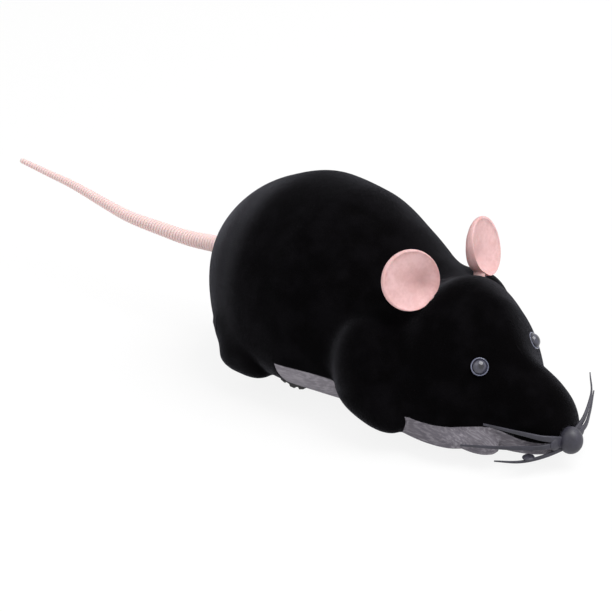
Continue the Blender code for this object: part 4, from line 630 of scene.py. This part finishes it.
def in_frame(station, spread, height):
    """A point given by distances from the body's rear, middle plane and floor."""
    return Vector((REAR_OF_BODY + station, spread, height))


def skin_point(share, angle):
    """A point of the skin: the angle runs from the left side, at 0, up over the back."""
    side, up = math.cos(angle), math.sin(angle)
    fullness = FULLNESS(share) if up >= 0 else LOWER_FULLNESS
    height = TOP(share) - LEVEL(share) if up >= 0 else LEVEL(share) - BOTTOM(share)
    out = math.copysign(abs(side) ** (2 / fullness), side)
    lift = math.copysign(abs(up) ** (2 / fullness), up)
    return in_frame(
        share * BODY_LENGTH,
        HALF_WIDTH(share) * BODY_HALF_WIDTH * out,
        (LEVEL(share) + height * lift) * BODY_HEIGHT,
    )


def skin_normal(share, angle):
    tiny = 0.002
    along = skin_point(share + tiny, angle) - skin_point(share - tiny, angle)
    around = skin_point(share, angle + tiny) - skin_point(share, angle - tiny)
    return around.cross(along).normalized()


def angle_at_height(share, height):
    lift = (height / BODY_HEIGHT - LEVEL(share)) / (TOP(share) - LEVEL(share))
    return math.asin(min(1, lift) ** (FULLNESS(share) / 2))


def angle_at_spread(share, spread):
    out = spread / (HALF_WIDTH(share) * BODY_HALF_WIDTH)
    return math.acos(min(1, out) ** (FULLNESS(share) / 2))


print("body section at the widest:", skin_point(0.281, 0))

# %% [markdown]
# ## One skin over body and legs
# On the real toy the pile is glued onto the moulded shells. Here it is a coat of its own that lies a
# fifth of a millimetre proud of the plastic. It starts as a ball wrapped onto the body's form, whose
# rings lie closer together at the ends, where the form turns sharply.

# %% Wrapping a ball onto the body
COAT_PROUD, COAT_INSIDE = 0.2 * MM, -0.5 * MM
POLE = 1e-5


def wrapped_body(grow, sides=96, rings=120):
    bpy.ops.mesh.primitive_uv_sphere_add(segments=sides, ring_count=rings, radius=1)
    body = bpy.context.object
    for vertex in body.data.vertices:
        even = math.acos(max(-1, min(1, -vertex.co.z))) / math.pi
        share = (even + (1 + vertex.co.z) / 2) / 2
        if abs(vertex.co.z) > 1 - POLE:
            share = round(share)
            vertex.co = in_frame(share * BODY_LENGTH, 0, LEVEL(share) * BODY_HEIGHT)
        else:
            vertex.co = skin_point(share, math.atan2(vertex.co.y, vertex.co.x))
    face_outwards(body)
    for vertex, outward in [(v, v.normal.copy()) for v in body.data.vertices]:
        vertex.co += outward * grow
    return body


# %% [markdown]
# ## Limbs
# Thighs, legs, feet, forearms and paws are egg-shaped forms that swell out of the body. Each is placed
# by shares of the body's length, half width and height, and is the same on both sides.

# %% Legs, feet and paws
# station, spread and height as shares, then the radii in millimetres, the pitch in degrees, and how
# full the egg is in its corners
THIGH = ((0.221, 0.640, 0.309), (11.5, 9.5, 11.0), 0, 2.0)
REAR_FOOT = ((0.264, 0.841, 0.212), (9.5, 5.0, 5.3), 0, 2.9)
FRONT_LEG = ((0.604, 0.657, 0.345), (10.3, 8.2, 13.2), 0, 2.1)
FRONT_FOOT = ((0.630, 0.741, 0.207), (11.5, 5.5, 5.2), 15, 2.4)
FOREARM = ((0.722, 0.560, 0.126), (16.0, 5.0, 3.4), 2, 2.0)
PAW = ((0.836, 0.445, 0.106), (8.8, 3.2, 2.8), 0, 2.0)


def lobe(form, side, grow=0.0):
    """One egg-shaped form of a leg, foot or paw."""
    (along, spread, height), radii, pitch, fullness = form
    bpy.ops.mesh.primitive_uv_sphere_add(segments=48, ring_count=32, radius=1)
    egg = bpy.context.object
    for vertex in egg.data.vertices:
        reach = sum(abs(part) ** fullness for part in vertex.co) ** (1 / fullness)
        vertex.co /= reach
    egg.scale = [radius * MM + grow for radius in radii]
    egg.rotation_euler = (0, math.radians(pitch), 0)
    egg.location = in_frame(
        along * BODY_LENGTH, side * spread * BODY_HALF_WIDTH, height * BODY_HEIGHT
    )
    return fix_place(egg)


def joined(pieces):
    """All the pieces as one object, just as they are."""
    bpy.ops.object.select_all(action="DESELECT")
    for piece in pieces:
        piece.select_set(True)
    bpy.context.view_layer.objects.active = pieces[0]
    bpy.ops.object.join()
    return bpy.context.object


def both_sides(*forms, grow=COAT_PROUD):
    return joined([lobe(form, side, grow) for form in forms for side in (1, -1)])


def nearest_on(thing):
    """A tree that finds how far a point is from this object's surface."""
    mesh = thing.data
    return BVHTree.FromPolygons([v.co for v in mesh.vertices], [f.vertices for f in mesh.polygons])


# %% [markdown]
# ## Remeshing
# A voxel remesh draws one skin over the body and its limbs. Above the line where the shells part, its
# creases are then smoothed, because pile fills a sharp corner.

# %% One skin over all of them
SKIN_VOXEL = 0.7 * MM
CREASE_REACH = 6.0 * MM
CREASE_SMOOTHING = 120
forms = [
    wrapped_body(COAT_PROUD),
    both_sides(THIGH, FRONT_LEG),
    both_sides(REAR_FOOT, FRONT_FOOT),
]
surfaces = [nearest_on(form) for form in forms]
skin = joined([*forms, both_sides(FOREARM), both_sides(PAW)])
apply_modifier(skin, "REMESH", mode="VOXEL", voxel_size=SKIN_VOXEL)
crease = skin.vertex_groups.new(name="crease")
for vertex in skin.data.vertices:
    # a crease is where two of the forms are both near
    second = sorted(surface.find_nearest(vertex.co)[3] for surface in surfaces)[1]
    share = (vertex.co.x - REAR_OF_BODY) / BODY_LENGTH
    over_seam = (vertex.co.z - SEAM(share) * BODY_HEIGHT) / CREASE_REACH
    weight = max(0.0, 1 - second / CREASE_REACH) ** 0.5 * max(0.0, min(1.0, over_seam))
    crease.add([vertex.index], weight, "REPLACE")
apply_modifier(skin, "SMOOTH", factor=0.5, iterations=2)
apply_modifier(skin, "SMOOTH", factor=0.5, iterations=CREASE_SMOOTHING, vertex_group="crease")
print("skin faces:", len(skin.data.polygons))

# %% [markdown]
# ## Black coat and grey coat
# A slightly smaller body is cut out of the skin, so that it becomes a shell. The room under the line
# where the shells part, without the legs, divides it: what lies in that room is the grey coat of the
# belly and chin, and the rest is the black coat.

# %% Dividing the skin
def under_seam(steps=60):
    """All the room under the line where the shells part."""
    first, last = SEAM_SHARES[0][0], SEAM_SHARES[-1][0]
    reach, floor = 2 * BODY_HALF_WIDTH, -BODY_HEIGHT
    line = [first + (last - first) * k / steps for k in range(steps + 1)]
    outline = [(share * BODY_LENGTH, SEAM(share) * BODY_HEIGHT) for share in line]
    outline += [(last * BODY_LENGTH, floor), (first * BODY_LENGTH, floor)]
    bpy.ops.mesh.primitive_plane_add()
    room = bpy.context.object
    shape = bmesh.new()
    corners = [in_frame(along, -reach, height) for along, height in outline]
    shape.faces.new([shape.verts.new(corner) for corner in corners])
    shape.to_mesh(room.data)
    shape.free()
    only(room)
    bpy.ops.object.mode_set(mode="EDIT")
    bpy.ops.mesh.select_all(action="SELECT")
    bpy.ops.mesh.extrude_region_move(TRANSFORM_OT_translate={"value": (0, 2 * reach, 0)})
    bpy.ops.object.mode_set(mode="OBJECT")
    return face_outwards(room)


LEG_MARGIN = COAT_PROUD + 0.15 * MM
# the black reaches further forwards than the rear foot itself, and ends upright there
BLACK_REAR_FOOT = ((0.290, 0.830, 0.225), (13.0, 6.5, 9.0), 0, 4.0)
shell = carve(skin, "DIFFERENCE", wrapped_body(COAT_INSIDE, 64, 80))
belly_room = under_seam()
for side in (1, -1):
    for leg, foot in ((THIGH, BLACK_REAR_FOOT), (FRONT_LEG, FRONT_FOOT)):
        limb = carve(lobe(leg, side, LEG_MARGIN), "UNION", lobe(foot, side, LEG_MARGIN))
        carve(belly_room, "DIFFERENCE", limb)


def without_crumbs(piece, least=400):
    """Drops the loose bits that a cut has left, which have few faces."""
    only(piece)
    bpy.ops.object.mode_set(mode="EDIT")
    bpy.ops.mesh.select_all(action="SELECT")
    bpy.ops.mesh.separate(type="LOOSE")
    bpy.ops.object.mode_set(mode="OBJECT")
    parts = [part for part in bpy.context.selected_objects if part.type == "MESH"]
    kept = [part for part in parts if len(part.data.polygons) >= least]
    for part in parts:
        if part not in kept:
            bpy.data.objects.remove(part)
    return joined(kept)


black_coat, grey_coat = own_copy(shell), shell
black_coat = without_crumbs(carve(black_coat, "DIFFERENCE", own_copy(belly_room)))
grey_coat = without_crumbs(carve(grey_coat, "INTERSECT", belly_room))
print("black and grey faces:", len(black_coat.data.polygons), len(grey_coat.data.polygons))

# %% [markdown]
# ## Openings in the coats
# The pile stops round what comes through the shell: the eyes, the tail, the nose, and under the belly
# the wheels, castor, battery door, switch and screws. The places of those under the belly are read from
# the frame.

# %% Openings in the black coat
EYE_SHARE, EYE_HEIGHT_SHARE, EYE_RADIUS = 0.840, 0.444, 2.25 * MM
eye_angle = angle_at_height(EYE_SHARE, EYE_HEIGHT_SHARE * BODY_HEIGHT)
EYE_POINT = skin_point(EYE_SHARE, eye_angle)
# the seats look a little more forwards and up than the skin round them does
EYE_OUTWARD = (skin_normal(EYE_SHARE, eye_angle) + 0.45 * Vector((0.7, 0, 0.7))).normalized()
NOSE_CENTRE = in_frame(121.9 * MM, 0, 7.3 * MM)
NOSE_RADII = Vector((3.0, 3.0, 3.4)) * MM
TAIL_ROOT = in_frame(0, 0, 24.4 * MM)
TAIL_HOLE_RADIUS = 3.1 * MM
OPENING_PLAY, EYE_PLAY = 0.25 * MM, 0.15 * MM
REACH = 4 * MM


def other_side(point, side):
    return Vector((point.x, side * point.y, point.z))


backwards = Vector((REACH, 0, 0))
openings = [
    rod(TAIL_ROOT - backwards, TAIL_ROOT + backwards, TAIL_HOLE_RADIUS),
    ball(NOSE_CENTRE, [radius + OPENING_PLAY for radius in NOSE_RADII]),
]
for side in (1, -1):
    at, out = other_side(EYE_POINT, side), other_side(EYE_OUTWARD, side) * REACH
    openings.append(rod(at - out, at + out, EYE_RADIUS + EYE_PLAY))
carve(black_coat, "DIFFERENCE", joined(openings))
dress(black_coat, "black_flock_coat", "black_flock", "mouse_body", smooth=180)


# %% [markdown]
# ## Openings under the belly
# Each opening in the grey coat leaves room for what moves in it: the wheels turn, the castor swivels,
# the battery door swings down and the switch slides across.

# %% Openings in the grey coat
WHEEL_SLOT_HALF, WHEEL_SLOT_PLAY, WHEEL_SLOT_TOP = 11.2 * MM, 0.5 * MM, 11 * MM
CASTOR_OPENING_RADIUS, SCREW_OPENING_RADIUS = 7.8 * MM, 2.5 * MM
DOOR_PLAY, SWITCH_TRAVEL = 0.3 * MM, 2 * MM


def joint_place(name):
    return next(joint for joint in frame["joints"] if joint["name"] == name)["pos_m"]


def upright_opening(x, y, radius):
    return rod((x, y, -REACH), (x, y, 2 * REACH), radius)


openings = [ball(NOSE_CENTRE, [radius + OPENING_PLAY for radius in NOSE_RADII])]
low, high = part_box("tyre_left")
axle = (low.x + high.x) / 2
rear, front = axle - WHEEL_SLOT_HALF, axle + WHEEL_SLOT_HALF
for side in (1, -1):
    near, far = sorted((side * (low.y - WHEEL_SLOT_PLAY), side * (high.y + WHEEL_SLOT_PLAY)))
    openings.append(block((rear, near, -REACH), (front, far, WHEEL_SLOT_TOP)))
openings.append(upright_opening(joint_place("castor_swivel")[0], 0, CASTOR_OPENING_RADIUS))
low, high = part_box("battery_door")
edge, down = Vector((DOOR_PLAY, DOOR_PLAY, 0)), Vector((0, 0, REACH))
openings.append(block(low - edge - down, high + edge))
low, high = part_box("switch_slider")
openings.append(block(low - edge - down, high + edge + Vector((0, SWITCH_TRAVEL, 0))))
for number in (1, 2, 3):
    low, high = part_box(f"shell_screw_{number}")
    at = (low + high) / 2
    openings.append(upright_opening(at.x, at.y, SCREW_OPENING_RADIUS))
carve(grey_coat, "DIFFERENCE", joined(openings))
dress(grey_coat, "grey_flock_coat", "grey_flock", "mouse_body", smooth=180)

# %% [markdown]
# ## Eyes
# A bead is a shallow dome on a peg. It is turned ring by ring, and each of its points keeps its
# distance from the axis, for the rings of its finish.

# %% Eyes
EYE_DOME, EYE_DOME_BASE, EYE_DOME_SHARE = 1.75 * MM, 0.35 * MM, 0.82
DOME_STEPS = 12
dome = [
    (
        EYE_RADIUS * EYE_DOME_SHARE * math.cos(a),
        EYE_DOME_BASE + (EYE_DOME - EYE_DOME_BASE) * math.sin(a),
    )
    for a in (k * TURN / 4 / DOME_STEPS for k in range(DOME_STEPS))
]
# radius and height: the peg, the seat's edge, and the raised ring round the dome
bead_rings = [
    (0.9 * MM, -3.2 * MM),
    (0.9 * MM, -1.6 * MM),
    (EYE_RADIUS * 0.92, -1.6 * MM),
    (EYE_RADIUS * 0.98, -0.2 * MM),
    (EYE_RADIUS, 0.25 * MM),
    (EYE_RADIUS * 0.985, 0.45 * MM),
    (EYE_RADIUS * 0.945, 0.58 * MM),
    (EYE_RADIUS * 0.90, 0.60 * MM),
    (EYE_RADIUS * 0.86, 0.50 * MM),
    (EYE_RADIUS * 0.84, 0.36 * MM),
    *dome,
    (EYE_RADIUS * 0.02, EYE_DOME),
]
for side, word in ((1, "left"), (-1, "right")):
    bead = turned(bead_rings, 40)
    reach = bead.data.attributes.new("reach", "FLOAT", "POINT")
    for index, vertex in enumerate(bead.data.vertices):
        reach.data[index].value = math.hypot(vertex.co.x, vertex.co.y) / EYE_RADIUS
    aim(bead, other_side(EYE_POINT, side), other_side(EYE_OUTWARD, side))
    dress(bead, f"eye_bead_{word}", "clear_plastic", "mouse_body", f"eye_{word}")

# %% [markdown]
# ## Ears
# An ear is a thin rubber cup on a stem. Its rim is rolled over into a soft lip, and it is deepest
# towards the stem, where the rubber is drawn in and lies in soft folds. The cup and the hollow are
# turned as round forms, pulled towards the stem alike, and the hollow is then taken out of the cup.
# The left ear of the real toy stands a little higher than the right one.

# %% Ears
EAR_RADIUS, EAR_DEPTH = 7.5 * MM, 2.5 * MM
EAR_TURN, EAR_TILT = math.radians(21), math.radians(14)
EAR_SHARE, EAR_SPREAD = 0.698, 0.287 * BODY_HALF_WIDTH
ear_base = skin_point(EAR_SHARE, angle_at_spread(EAR_SHARE, EAR_SPREAD))
ear_outward = skin_normal(EAR_SHARE, angle_at_spread(EAR_SHARE, EAR_SPREAD))
EAR_FROM_BASE = Vector((-1.45, 4.5, 5.9)) * MM
EAR_CENTRE = ear_base + EAR_FROM_BASE
EAR_FACING = Vector(
    (
        math.cos(EAR_TILT) * math.cos(EAR_TURN),
        math.cos(EAR_TILT) * math.sin(EAR_TURN),
        math.sin(EAR_TILT),
    )
)
# in millimetres: how far the stem's top lies below the ear's middle and behind it
STEM_BELOW, STEM_BEHIND = 4.6, 2.6
# in millimetres: how deep the stem is rooted in the head, and how far it comes straight out
STEM_ROOTED, STEM_STRAIGHT = 3, 1.4
STEM_RADII = (1.45 * MM, 1.5 * MM, 1.3 * MM)
to_base = ear_base - EAR_CENTRE
STEM_WAY = (to_base - EAR_FACING * to_base.dot(EAR_FACING)).normalized()
EAR_ASIDE = EAR_FACING.cross(STEM_WAY)
STEM_TOP = EAR_CENTRE + STEM_WAY * STEM_BELOW * MM - EAR_FACING * STEM_BEHIND * MM
# share of the radius and of the depth: the hollow from its middle out, then over its edge and back
EAR_HOLLOW = ((0.02, -1.2), (0.10, -1.16), (0.20, -1.03), (0.32, -0.84), (0.46, -0.64))
EAR_HOLLOW += ((0.62, -0.43), (0.79, -0.24), (0.88, -0.10), (0.94, 0.0), (0.965, 0.3), (0.02, 0.3))
# the cup from the middle of its face out, round its rim and back along its rear
EAR_CUP = ((0.02, 0.0), (0.92, 0.02), (0.95, 0.07), (0.975, 0.07), (0.993, 0.02), (1.0, -0.06))
EAR_CUP += ((1.0, -0.2), (0.985, -0.42), (0.93, -0.66), (0.82, -0.90), (0.66, -1.10))
EAR_CUP += ((0.45, -1.32), (0.2, -1.52), (0.02, -1.56))
# how far the middle is pulled, towards the stem and aside, and by how much and how widely the rim
# is flattened at the stem
EAR_PULL, EAR_PULL_ASIDE, EAR_FLAT, EAR_FLAT_WIDTH = 0.44, -0.15, 0.055, 0.3
EAR_FOLDS, EAR_FOLD_HEIGHT = 6, 0.10 * MM


def tube_along(points, radii, sides=16, flatness=0.0):
    """A curve through the points, given a thickness. Flatness makes it an upright strip."""
    curve = bpy.data.curves.new("tube", "CURVE")
    curve.dimensions = "3D"
    curve.twist_mode = "Z_UP"
    curve.bevel_depth = 1.0
    curve.extrude = flatness
    curve.bevel_resolution = max(1, sides // 4 - 1)
    curve.use_fill_caps = True
    line = curve.splines.new("POLY")
    line.points.add(len(points) - 1)
    for stop, point, radius in zip(line.points, points, radii):
        stop.co, stop.radius = (*point, 1), radius
    tube = bpy.data.objects.new("tube", curve)
    bpy.context.scene.collection.objects.link(tube)
    only(tube)
    bpy.ops.object.convert(target="MESH")
    return face_outwards(bpy.context.object)


def rounded_route(stops, steps=6):
    """Points on a smooth line through the stops."""
    last = len(stops) - 1
    lines = [smooth_curve(range(last + 1), [stop[axis] for stop in stops]) for axis in range(3)]
    count = last * steps
    return [Vector([line(last * k / count) for line in lines]) for k in range(count + 1)]


def ear_round(profile):
    """One round form of the ear, in its place, drawn towards the stem in its middle."""
    form = turned([(r * EAR_RADIUS, z * EAR_DEPTH) for r, z in profile], 96)
    # the middle of the ear, where its pit is, keeps a weight for painted shade
    groove = form.data.attributes.new("groove", "FLOAT", "POINT")
    for index, vertex in enumerate(form.data.vertices):
        down, aside = vertex.co.x / EAR_RADIUS, vertex.co.y / EAR_RADIUS
        middle = max(0.0, 1 - down**2 - aside**2)
        groove.data[index].value = middle**5
        round_way = math.atan2(aside, down)
        left = 1 - EAR_FLAT * math.exp(-((round_way / EAR_FLAT_WIDTH) ** 2))
        down, aside = down * left, aside * left
        folds = math.sin(EAR_FOLDS * round_way) * max(0.0, -math.cos(round_way)) ** 2
        fold_place = middle**2 * min(1.0, 4 * math.hypot(down, aside) ** 2)
        deep = vertex.co.z - EAR_FOLD_HEIGHT * folds * fold_place
        down, aside = down + EAR_PULL * middle, aside + EAR_PULL_ASIDE * middle
        vertex.co = (
            EAR_CENTRE + (STEM_WAY * down + EAR_ASIDE * aside) * EAR_RADIUS + EAR_FACING * deep
        )
    return face_outwards(form)


def make_ear():
    """The left ear, in its place: a cup on a stem, hollowed last so that the hollow stays smooth."""
    route = [
        ear_base - ear_outward * STEM_ROOTED * MM,
        ear_base + ear_outward * STEM_STRAIGHT * MM,
        STEM_TOP,
        STEM_TOP - STEM_WAY * 2.4 * MM + EAR_FACING * 0.3 * MM,
    ]
    root, middle, top = STEM_RADII
    stem = tube_along(rounded_route(route), [root] * 7 + [middle] * 6 + [top] * 6, 24)
    ear = carve(ear_round(EAR_CUP), "UNION", stem, solver="MANIFOLD")
    return carve(ear, "DIFFERENCE", ear_round(EAR_HOLLOW), solver="MANIFOLD")


ear = make_ear()
twin = mirrored_copy(ear)
LEFT_EAR_LIFT = Vector((0.1, 0.6, 0.5)) * MM
ear.data.transform(Matrix.Translation(LEFT_EAR_LIFT))
dress(ear, "ear_dish_left", "pink_rubber", "mouse_body", "ear_left", smooth=50)
dress(twin, "ear_dish_right", "pink_rubber", "mouse_body", "ear_right", smooth=50)

# %% [markdown]
# ## Tail
# The tail is a soft rubber rod with a ring moulded round it about every millimetre, so that it whips
# from side to side. One ring is modelled, repeated with an Array along a straight line, tapered to the
# tip, and then bent along the tail's line with a Curve modifier.

# %% Tail
TAIL_LENGTH, TAIL_RIBS = 96.0 * MM, 88
# the plug goes through the rump wall, and its round head holds it there from inside
PLUG_LENGTH, PLUG_RADIUS, PLUG_HEAD_RADIUS = 6 * MM, 2.3 * MM, 3.6 * MM
PLUG_OVERLAP = 0.2 * MM
RIB_PITCH = TAIL_LENGTH / TAIL_RIBS
TAIL_RADII = (2.6 * MM, 0.8 * MM)
# how far back, aside and up, as shares of the length
TAIL_ROUTE_SHARES = (
    (0, 0, 0),
    (0.110, -0.005, -0.011),
    (0.210, -0.016, -0.017),
    (0.330, -0.033, -0.010),
    (0.465, -0.046, -0.002),
    (0.610, -0.050, 0.018),
    (0.725, -0.050, 0.033),
    (0.875, -0.058, 0.049),
    (1, -0.073, 0.068),
)
# along one ring: share of its pitch, and its radius as a share of the crown's
RIB_PROFILE = ((0.0, 0.82), (0.09, 0.86), (0.22, 0.97), (0.5, 1.0))
RIB_PROFILE += ((0.78, 0.97), (0.91, 0.86), (1.0, 0.82))
# what lies under this share of the crown's radius is in a groove, and gets painted shade
GROOVE_UNDER = 0.9


def tail_radius(back):
    share = max(0.0, min(1.0, back / TAIL_LENGTH))
    return TAIL_RADII[0] + (TAIL_RADII[1] - TAIL_RADII[0]) * share


def make_tail():
    bpy.ops.mesh.primitive_circle_add(
        vertices=28, radius=RIB_PROFILE[0][1], rotation=(0, TURN / 4, 0)
    )
    tail = fix_place(bpy.context.object)
    bpy.ops.object.mode_set(mode="EDIT")
    bpy.ops.mesh.select_all(action="SELECT")
    for (before, radius), (after, next_radius) in zip(RIB_PROFILE, RIB_PROFILE[1:]):
        step = (after - before) * RIB_PITCH
        bpy.ops.mesh.extrude_region_move(TRANSFORM_OT_translate={"value": (-step, 0, 0)})
        grow = next_radius / radius
        bpy.ops.transform.resize(value=(1, grow, grow), center_override=(-after * RIB_PITCH, 0, 0))
    bpy.ops.object.mode_set(mode="OBJECT")
    apply_modifier(
        tail,
        "ARRAY",
        count=TAIL_RIBS,
        use_relative_offset=False,
        use_constant_offset=True,
        constant_offset_displace=(-RIB_PITCH, 0, 0),
        use_merge_vertices=True,
        merge_threshold=0.01 * MM,
    )
    # each point in a groove is marked for painted shade
    groove = tail.data.attributes.new("groove", "FLOAT", "POINT")
    for index, vertex in enumerate(tail.data.vertices):
        radius = tail_radius(-vertex.co.x)
        out = math.hypot(vertex.co.y, vertex.co.z)
        groove.data[index].value = 1.0 if out < GROOVE_UNDER else 0.0
        vertex.co.y *= radius
        vertex.co.z *= radius
    close_ends(tail)
    face_outwards(tail)
    return tail


def tail_line():
    """The curve that the tail is bent along."""
    along, *across = zip(*TAIL_ROUTE_SHARES)
    aside, up = (smooth_curve(along, values) for values in across)
    curve = bpy.data.curves.new("tail_line", "CURVE")
    curve.dimensions = "3D"
    line = curve.splines.new("POLY")
    steps = 60
    line.points.add(steps)
    for k, stop in enumerate(line.points):
        share = k / steps
        stop.co = (*(TAIL_ROOT + Vector((-share, aside(share), up(share))) * TAIL_LENGTH), 1)
    made = bpy.data.objects.new("tail_line", curve)
    bpy.context.scene.collection.objects.link(made)
    return made


tail = make_tail()
line = tail_line()
apply_modifier(tail, "CURVE", object=line, deform_axis="NEG_X")
bpy.data.objects.remove(line)
plug_start = TAIL_ROOT - Vector((PLUG_OVERLAP, 0, 0))
plug_end = TAIL_ROOT + Vector((PLUG_LENGTH, 0, 0))
carve(tail, "UNION", rod(plug_start, plug_end, PLUG_RADIUS, 28))
carve(tail, "UNION", ball(plug_end, [PLUG_HEAD_RADIUS] * 3, 24, 16))
dress(tail, "ribbed_tail", "pink_rubber", "tail_body", "tail", smooth=60)
print("groove kept on:", [p.name for p in (tail, ear) if "groove" in p.data.attributes])

# %% [markdown]
# ## Nose and whiskers
# The nose is a rubber ball moulded in one piece with six whiskers, three a side. They leave a small
# web at the side of the nose and sweep back. Each is a flat strip that stands on edge and thins to its
# tip, and the moulding has left a small nub under one of them.

# %% Nose and whiskers
# stops of each whisker in millimetres: along the body, to the left and up
WHISKERS = (
    ((121.3, -2.3, 8.1), (120.0, -6.8, 9.8), (115.0, -10.0, 10.8), (106.4, -13.5, 11.6)),
    ((121.3, -2.3, 6.8), (120.0, -6.8, 7.6), (114.2, -12.2, 7.4), (103.5, -18.6, 7.0)),
    ((121.1, -2.2, 5.6), (119.6, -6.5, 4.9), (116.1, -11.5, 4.1), (112.0, -16.0, 4.7)),
    ((121.4, 1.8, 8.6), (120.1, 6.4, 9.6), (117.4, 12.5, 13.0), (112.7, 17.5, 15.6)),
    ((121.8, 2.0, 7.6), (120.9, 6.2, 8.3), (118.7, 10.5, 9.7), (115.2, 16.0, 12.1)),
    ((121.3, 2.0, 6.2), (119.8, 5.0, 5.2), (116.5, 9.0, 3.6), (113.0, 12.0, 3.2)),
)
WHISKER_THICK, WHISKER_TIP = 0.40 * MM, 0.33
# the lowest ones are thinner
WHISKER_FLATNESS = (1.15, 1.0, 0.45, 1.15, 1.0, 0.45)
NOSE_ROOT, NOSE_ROOT_RADIUS = 9 * MM, 1.4 * MM
WEB_STATION, WEB_SPREAD, WEB_HEIGHT = 120.8 * MM, 3.9 * MM, 7.6 * MM
WEB_RADII = Vector((0.8, 2.0, 1.7)) * MM
NUB_PLACE = in_frame(117.1 * MM, -9.6 * MM, 4.95 * MM)
NUB_RADII = Vector((1.5, 1.5, 0.5)) * MM


def whisker(stops, flatness):
    route = rounded_route([in_frame(*(value * MM for value in stop)) for stop in stops], 10)
    last = len(route) - 1
    radii = [WHISKER_THICK * (1 - (1 - WHISKER_TIP) * (k / last) ** 1.5) for k in range(last + 1)]
    return tube_along(route, radii, 16, flatness)


nose = ball(NOSE_CENTRE, NOSE_RADII, 48, 32)
root_end = NOSE_CENTRE - Vector((NOSE_ROOT, 0, 0))
carve(nose, "UNION", rod(NOSE_CENTRE, root_end, NOSE_ROOT_RADIUS, 24))
for side in (1, -1):
    web = in_frame(WEB_STATION, side * WEB_SPREAD, WEB_HEIGHT)
    carve(nose, "UNION", ball(web, WEB_RADII, 32, 20))
for stops, flatness in zip(WHISKERS, WHISKER_FLATNESS):
    carve(nose, "UNION", whisker(stops, flatness))
carve(nose, "UNION", ball(NUB_PLACE, NUB_RADII, 24, 16))
dress(nose, "nose_with_whiskers", "slate_rubber", "mouse_body", "nose_and_whiskers", smooth=50)

# %% [markdown]
# ## Floor and light
# The toy stands on a plain white floor in the soft light of a studio: a pale surround, one large
# lamp high on the right of the picture and a weaker one on its left. The floor glows to the camera, so
# that it is white like paper, and it keeps the toy's shadow.

# %% Floor and light
FLOOR_SIZE, FLOOR_DROP = 6.0, 0.02 * MM
FLOOR_GLOW, SURROUND = 0.87, 0.42


def lit_for_camera(tree):
    """1 for rays that the camera follows straight, by a shine or through a clear piece, else 0."""
    path = tree.nodes.new("ShaderNodeLightPath").outputs
    seen = Pattern(tree, path["Is Camera Ray"])
    seen = seen + Pattern(tree, path["Is Glossy Ray"]) + Pattern(tree, path["Is Transmission Ray"])
    return seen.maths("MINIMUM", seen, 1.0)


bpy.ops.object.select_all(action="DESELECT")
bpy.ops.mesh.primitive_plane_add(size=FLOOR_SIZE, location=(0, 0, -FLOOR_DROP))
floor = bpy.context.object
floor.name = "floor"
floor_finish = bpy.data.materials.new("floor_finish")
floor_finish.use_nodes = True
tree = floor_finish.node_tree
paper = next(node for node in tree.nodes if node.type == "BSDF_PRINCIPLED")
paper.inputs["Base Color"].default_value = (0.95, 0.95, 0.95, 1)
paper.inputs["Roughness"].default_value = 0.9
paper.inputs["Specular IOR Level"].default_value = 0.1
glow = tree.nodes.new("ShaderNodeEmission")
glow.inputs["Strength"].default_value = 1.0
both = tree.nodes.new("ShaderNodeMixShader")
share = FLOOR_GLOW * lit_for_camera(tree)
tree.links.new(share.socket, both.inputs[0])
tree.links.new(paper.outputs[0], both.inputs[1])
tree.links.new(glow.outputs[0], both.inputs[2])
# from under the floor the toy's wheels and battery door can be looked at through it
through = tree.nodes.new("ShaderNodeMixShader")
tree.links.new(tree.nodes.new("ShaderNodeNewGeometry").outputs["Backfacing"], through.inputs[0])
tree.links.new(both.outputs[0], through.inputs[1])
tree.links.new(tree.nodes.new("ShaderNodeBsdfTransparent").outputs[0], through.inputs[2])
tree.links.new(through.outputs[0], tree.nodes["Material Output"].inputs["Surface"])
floor.data.materials.append(floor_finish)

world = bpy.data.worlds.new("studio")
bpy.context.scene.world = world
world.use_nodes = True
tree = world.node_tree
surround = next(node for node in tree.nodes if node.type == "BACKGROUND")
surround.inputs["Color"].default_value = (1, 1, 1, 1)
strength = SURROUND + (1 - SURROUND) * lit_for_camera(tree)
tree.links.new(strength.socket, surround.inputs["Strength"])


def lamp(name, azimuth, elevation, distance, size, power):
    """A square soft lamp that looks at the toy."""
    light = bpy.data.lights.new(name, "AREA")
    light.size, light.energy = size, power
    made = bpy.data.objects.new(name, light)
    bpy.context.scene.collection.objects.link(made)
    a, e = math.radians(azimuth), math.radians(elevation)
    way = Vector((math.sin(a) * math.cos(e), -math.cos(a) * math.cos(e), math.sin(e)))
    made.location = way * distance
    made.rotation_mode = "QUATERNION"
    made.rotation_quaternion = (-way).to_track_quat("-Z", "Y")


lamp("key", 115, 60, 1.2, 0.9, 13.5)
lamp("fill", -10, 55, 1.4, 0.9, 2.5)
print("stage set")

# %% [markdown]
# ## Finish
# The dressed toy must be as big as the solids say.

# %% Finish
import json
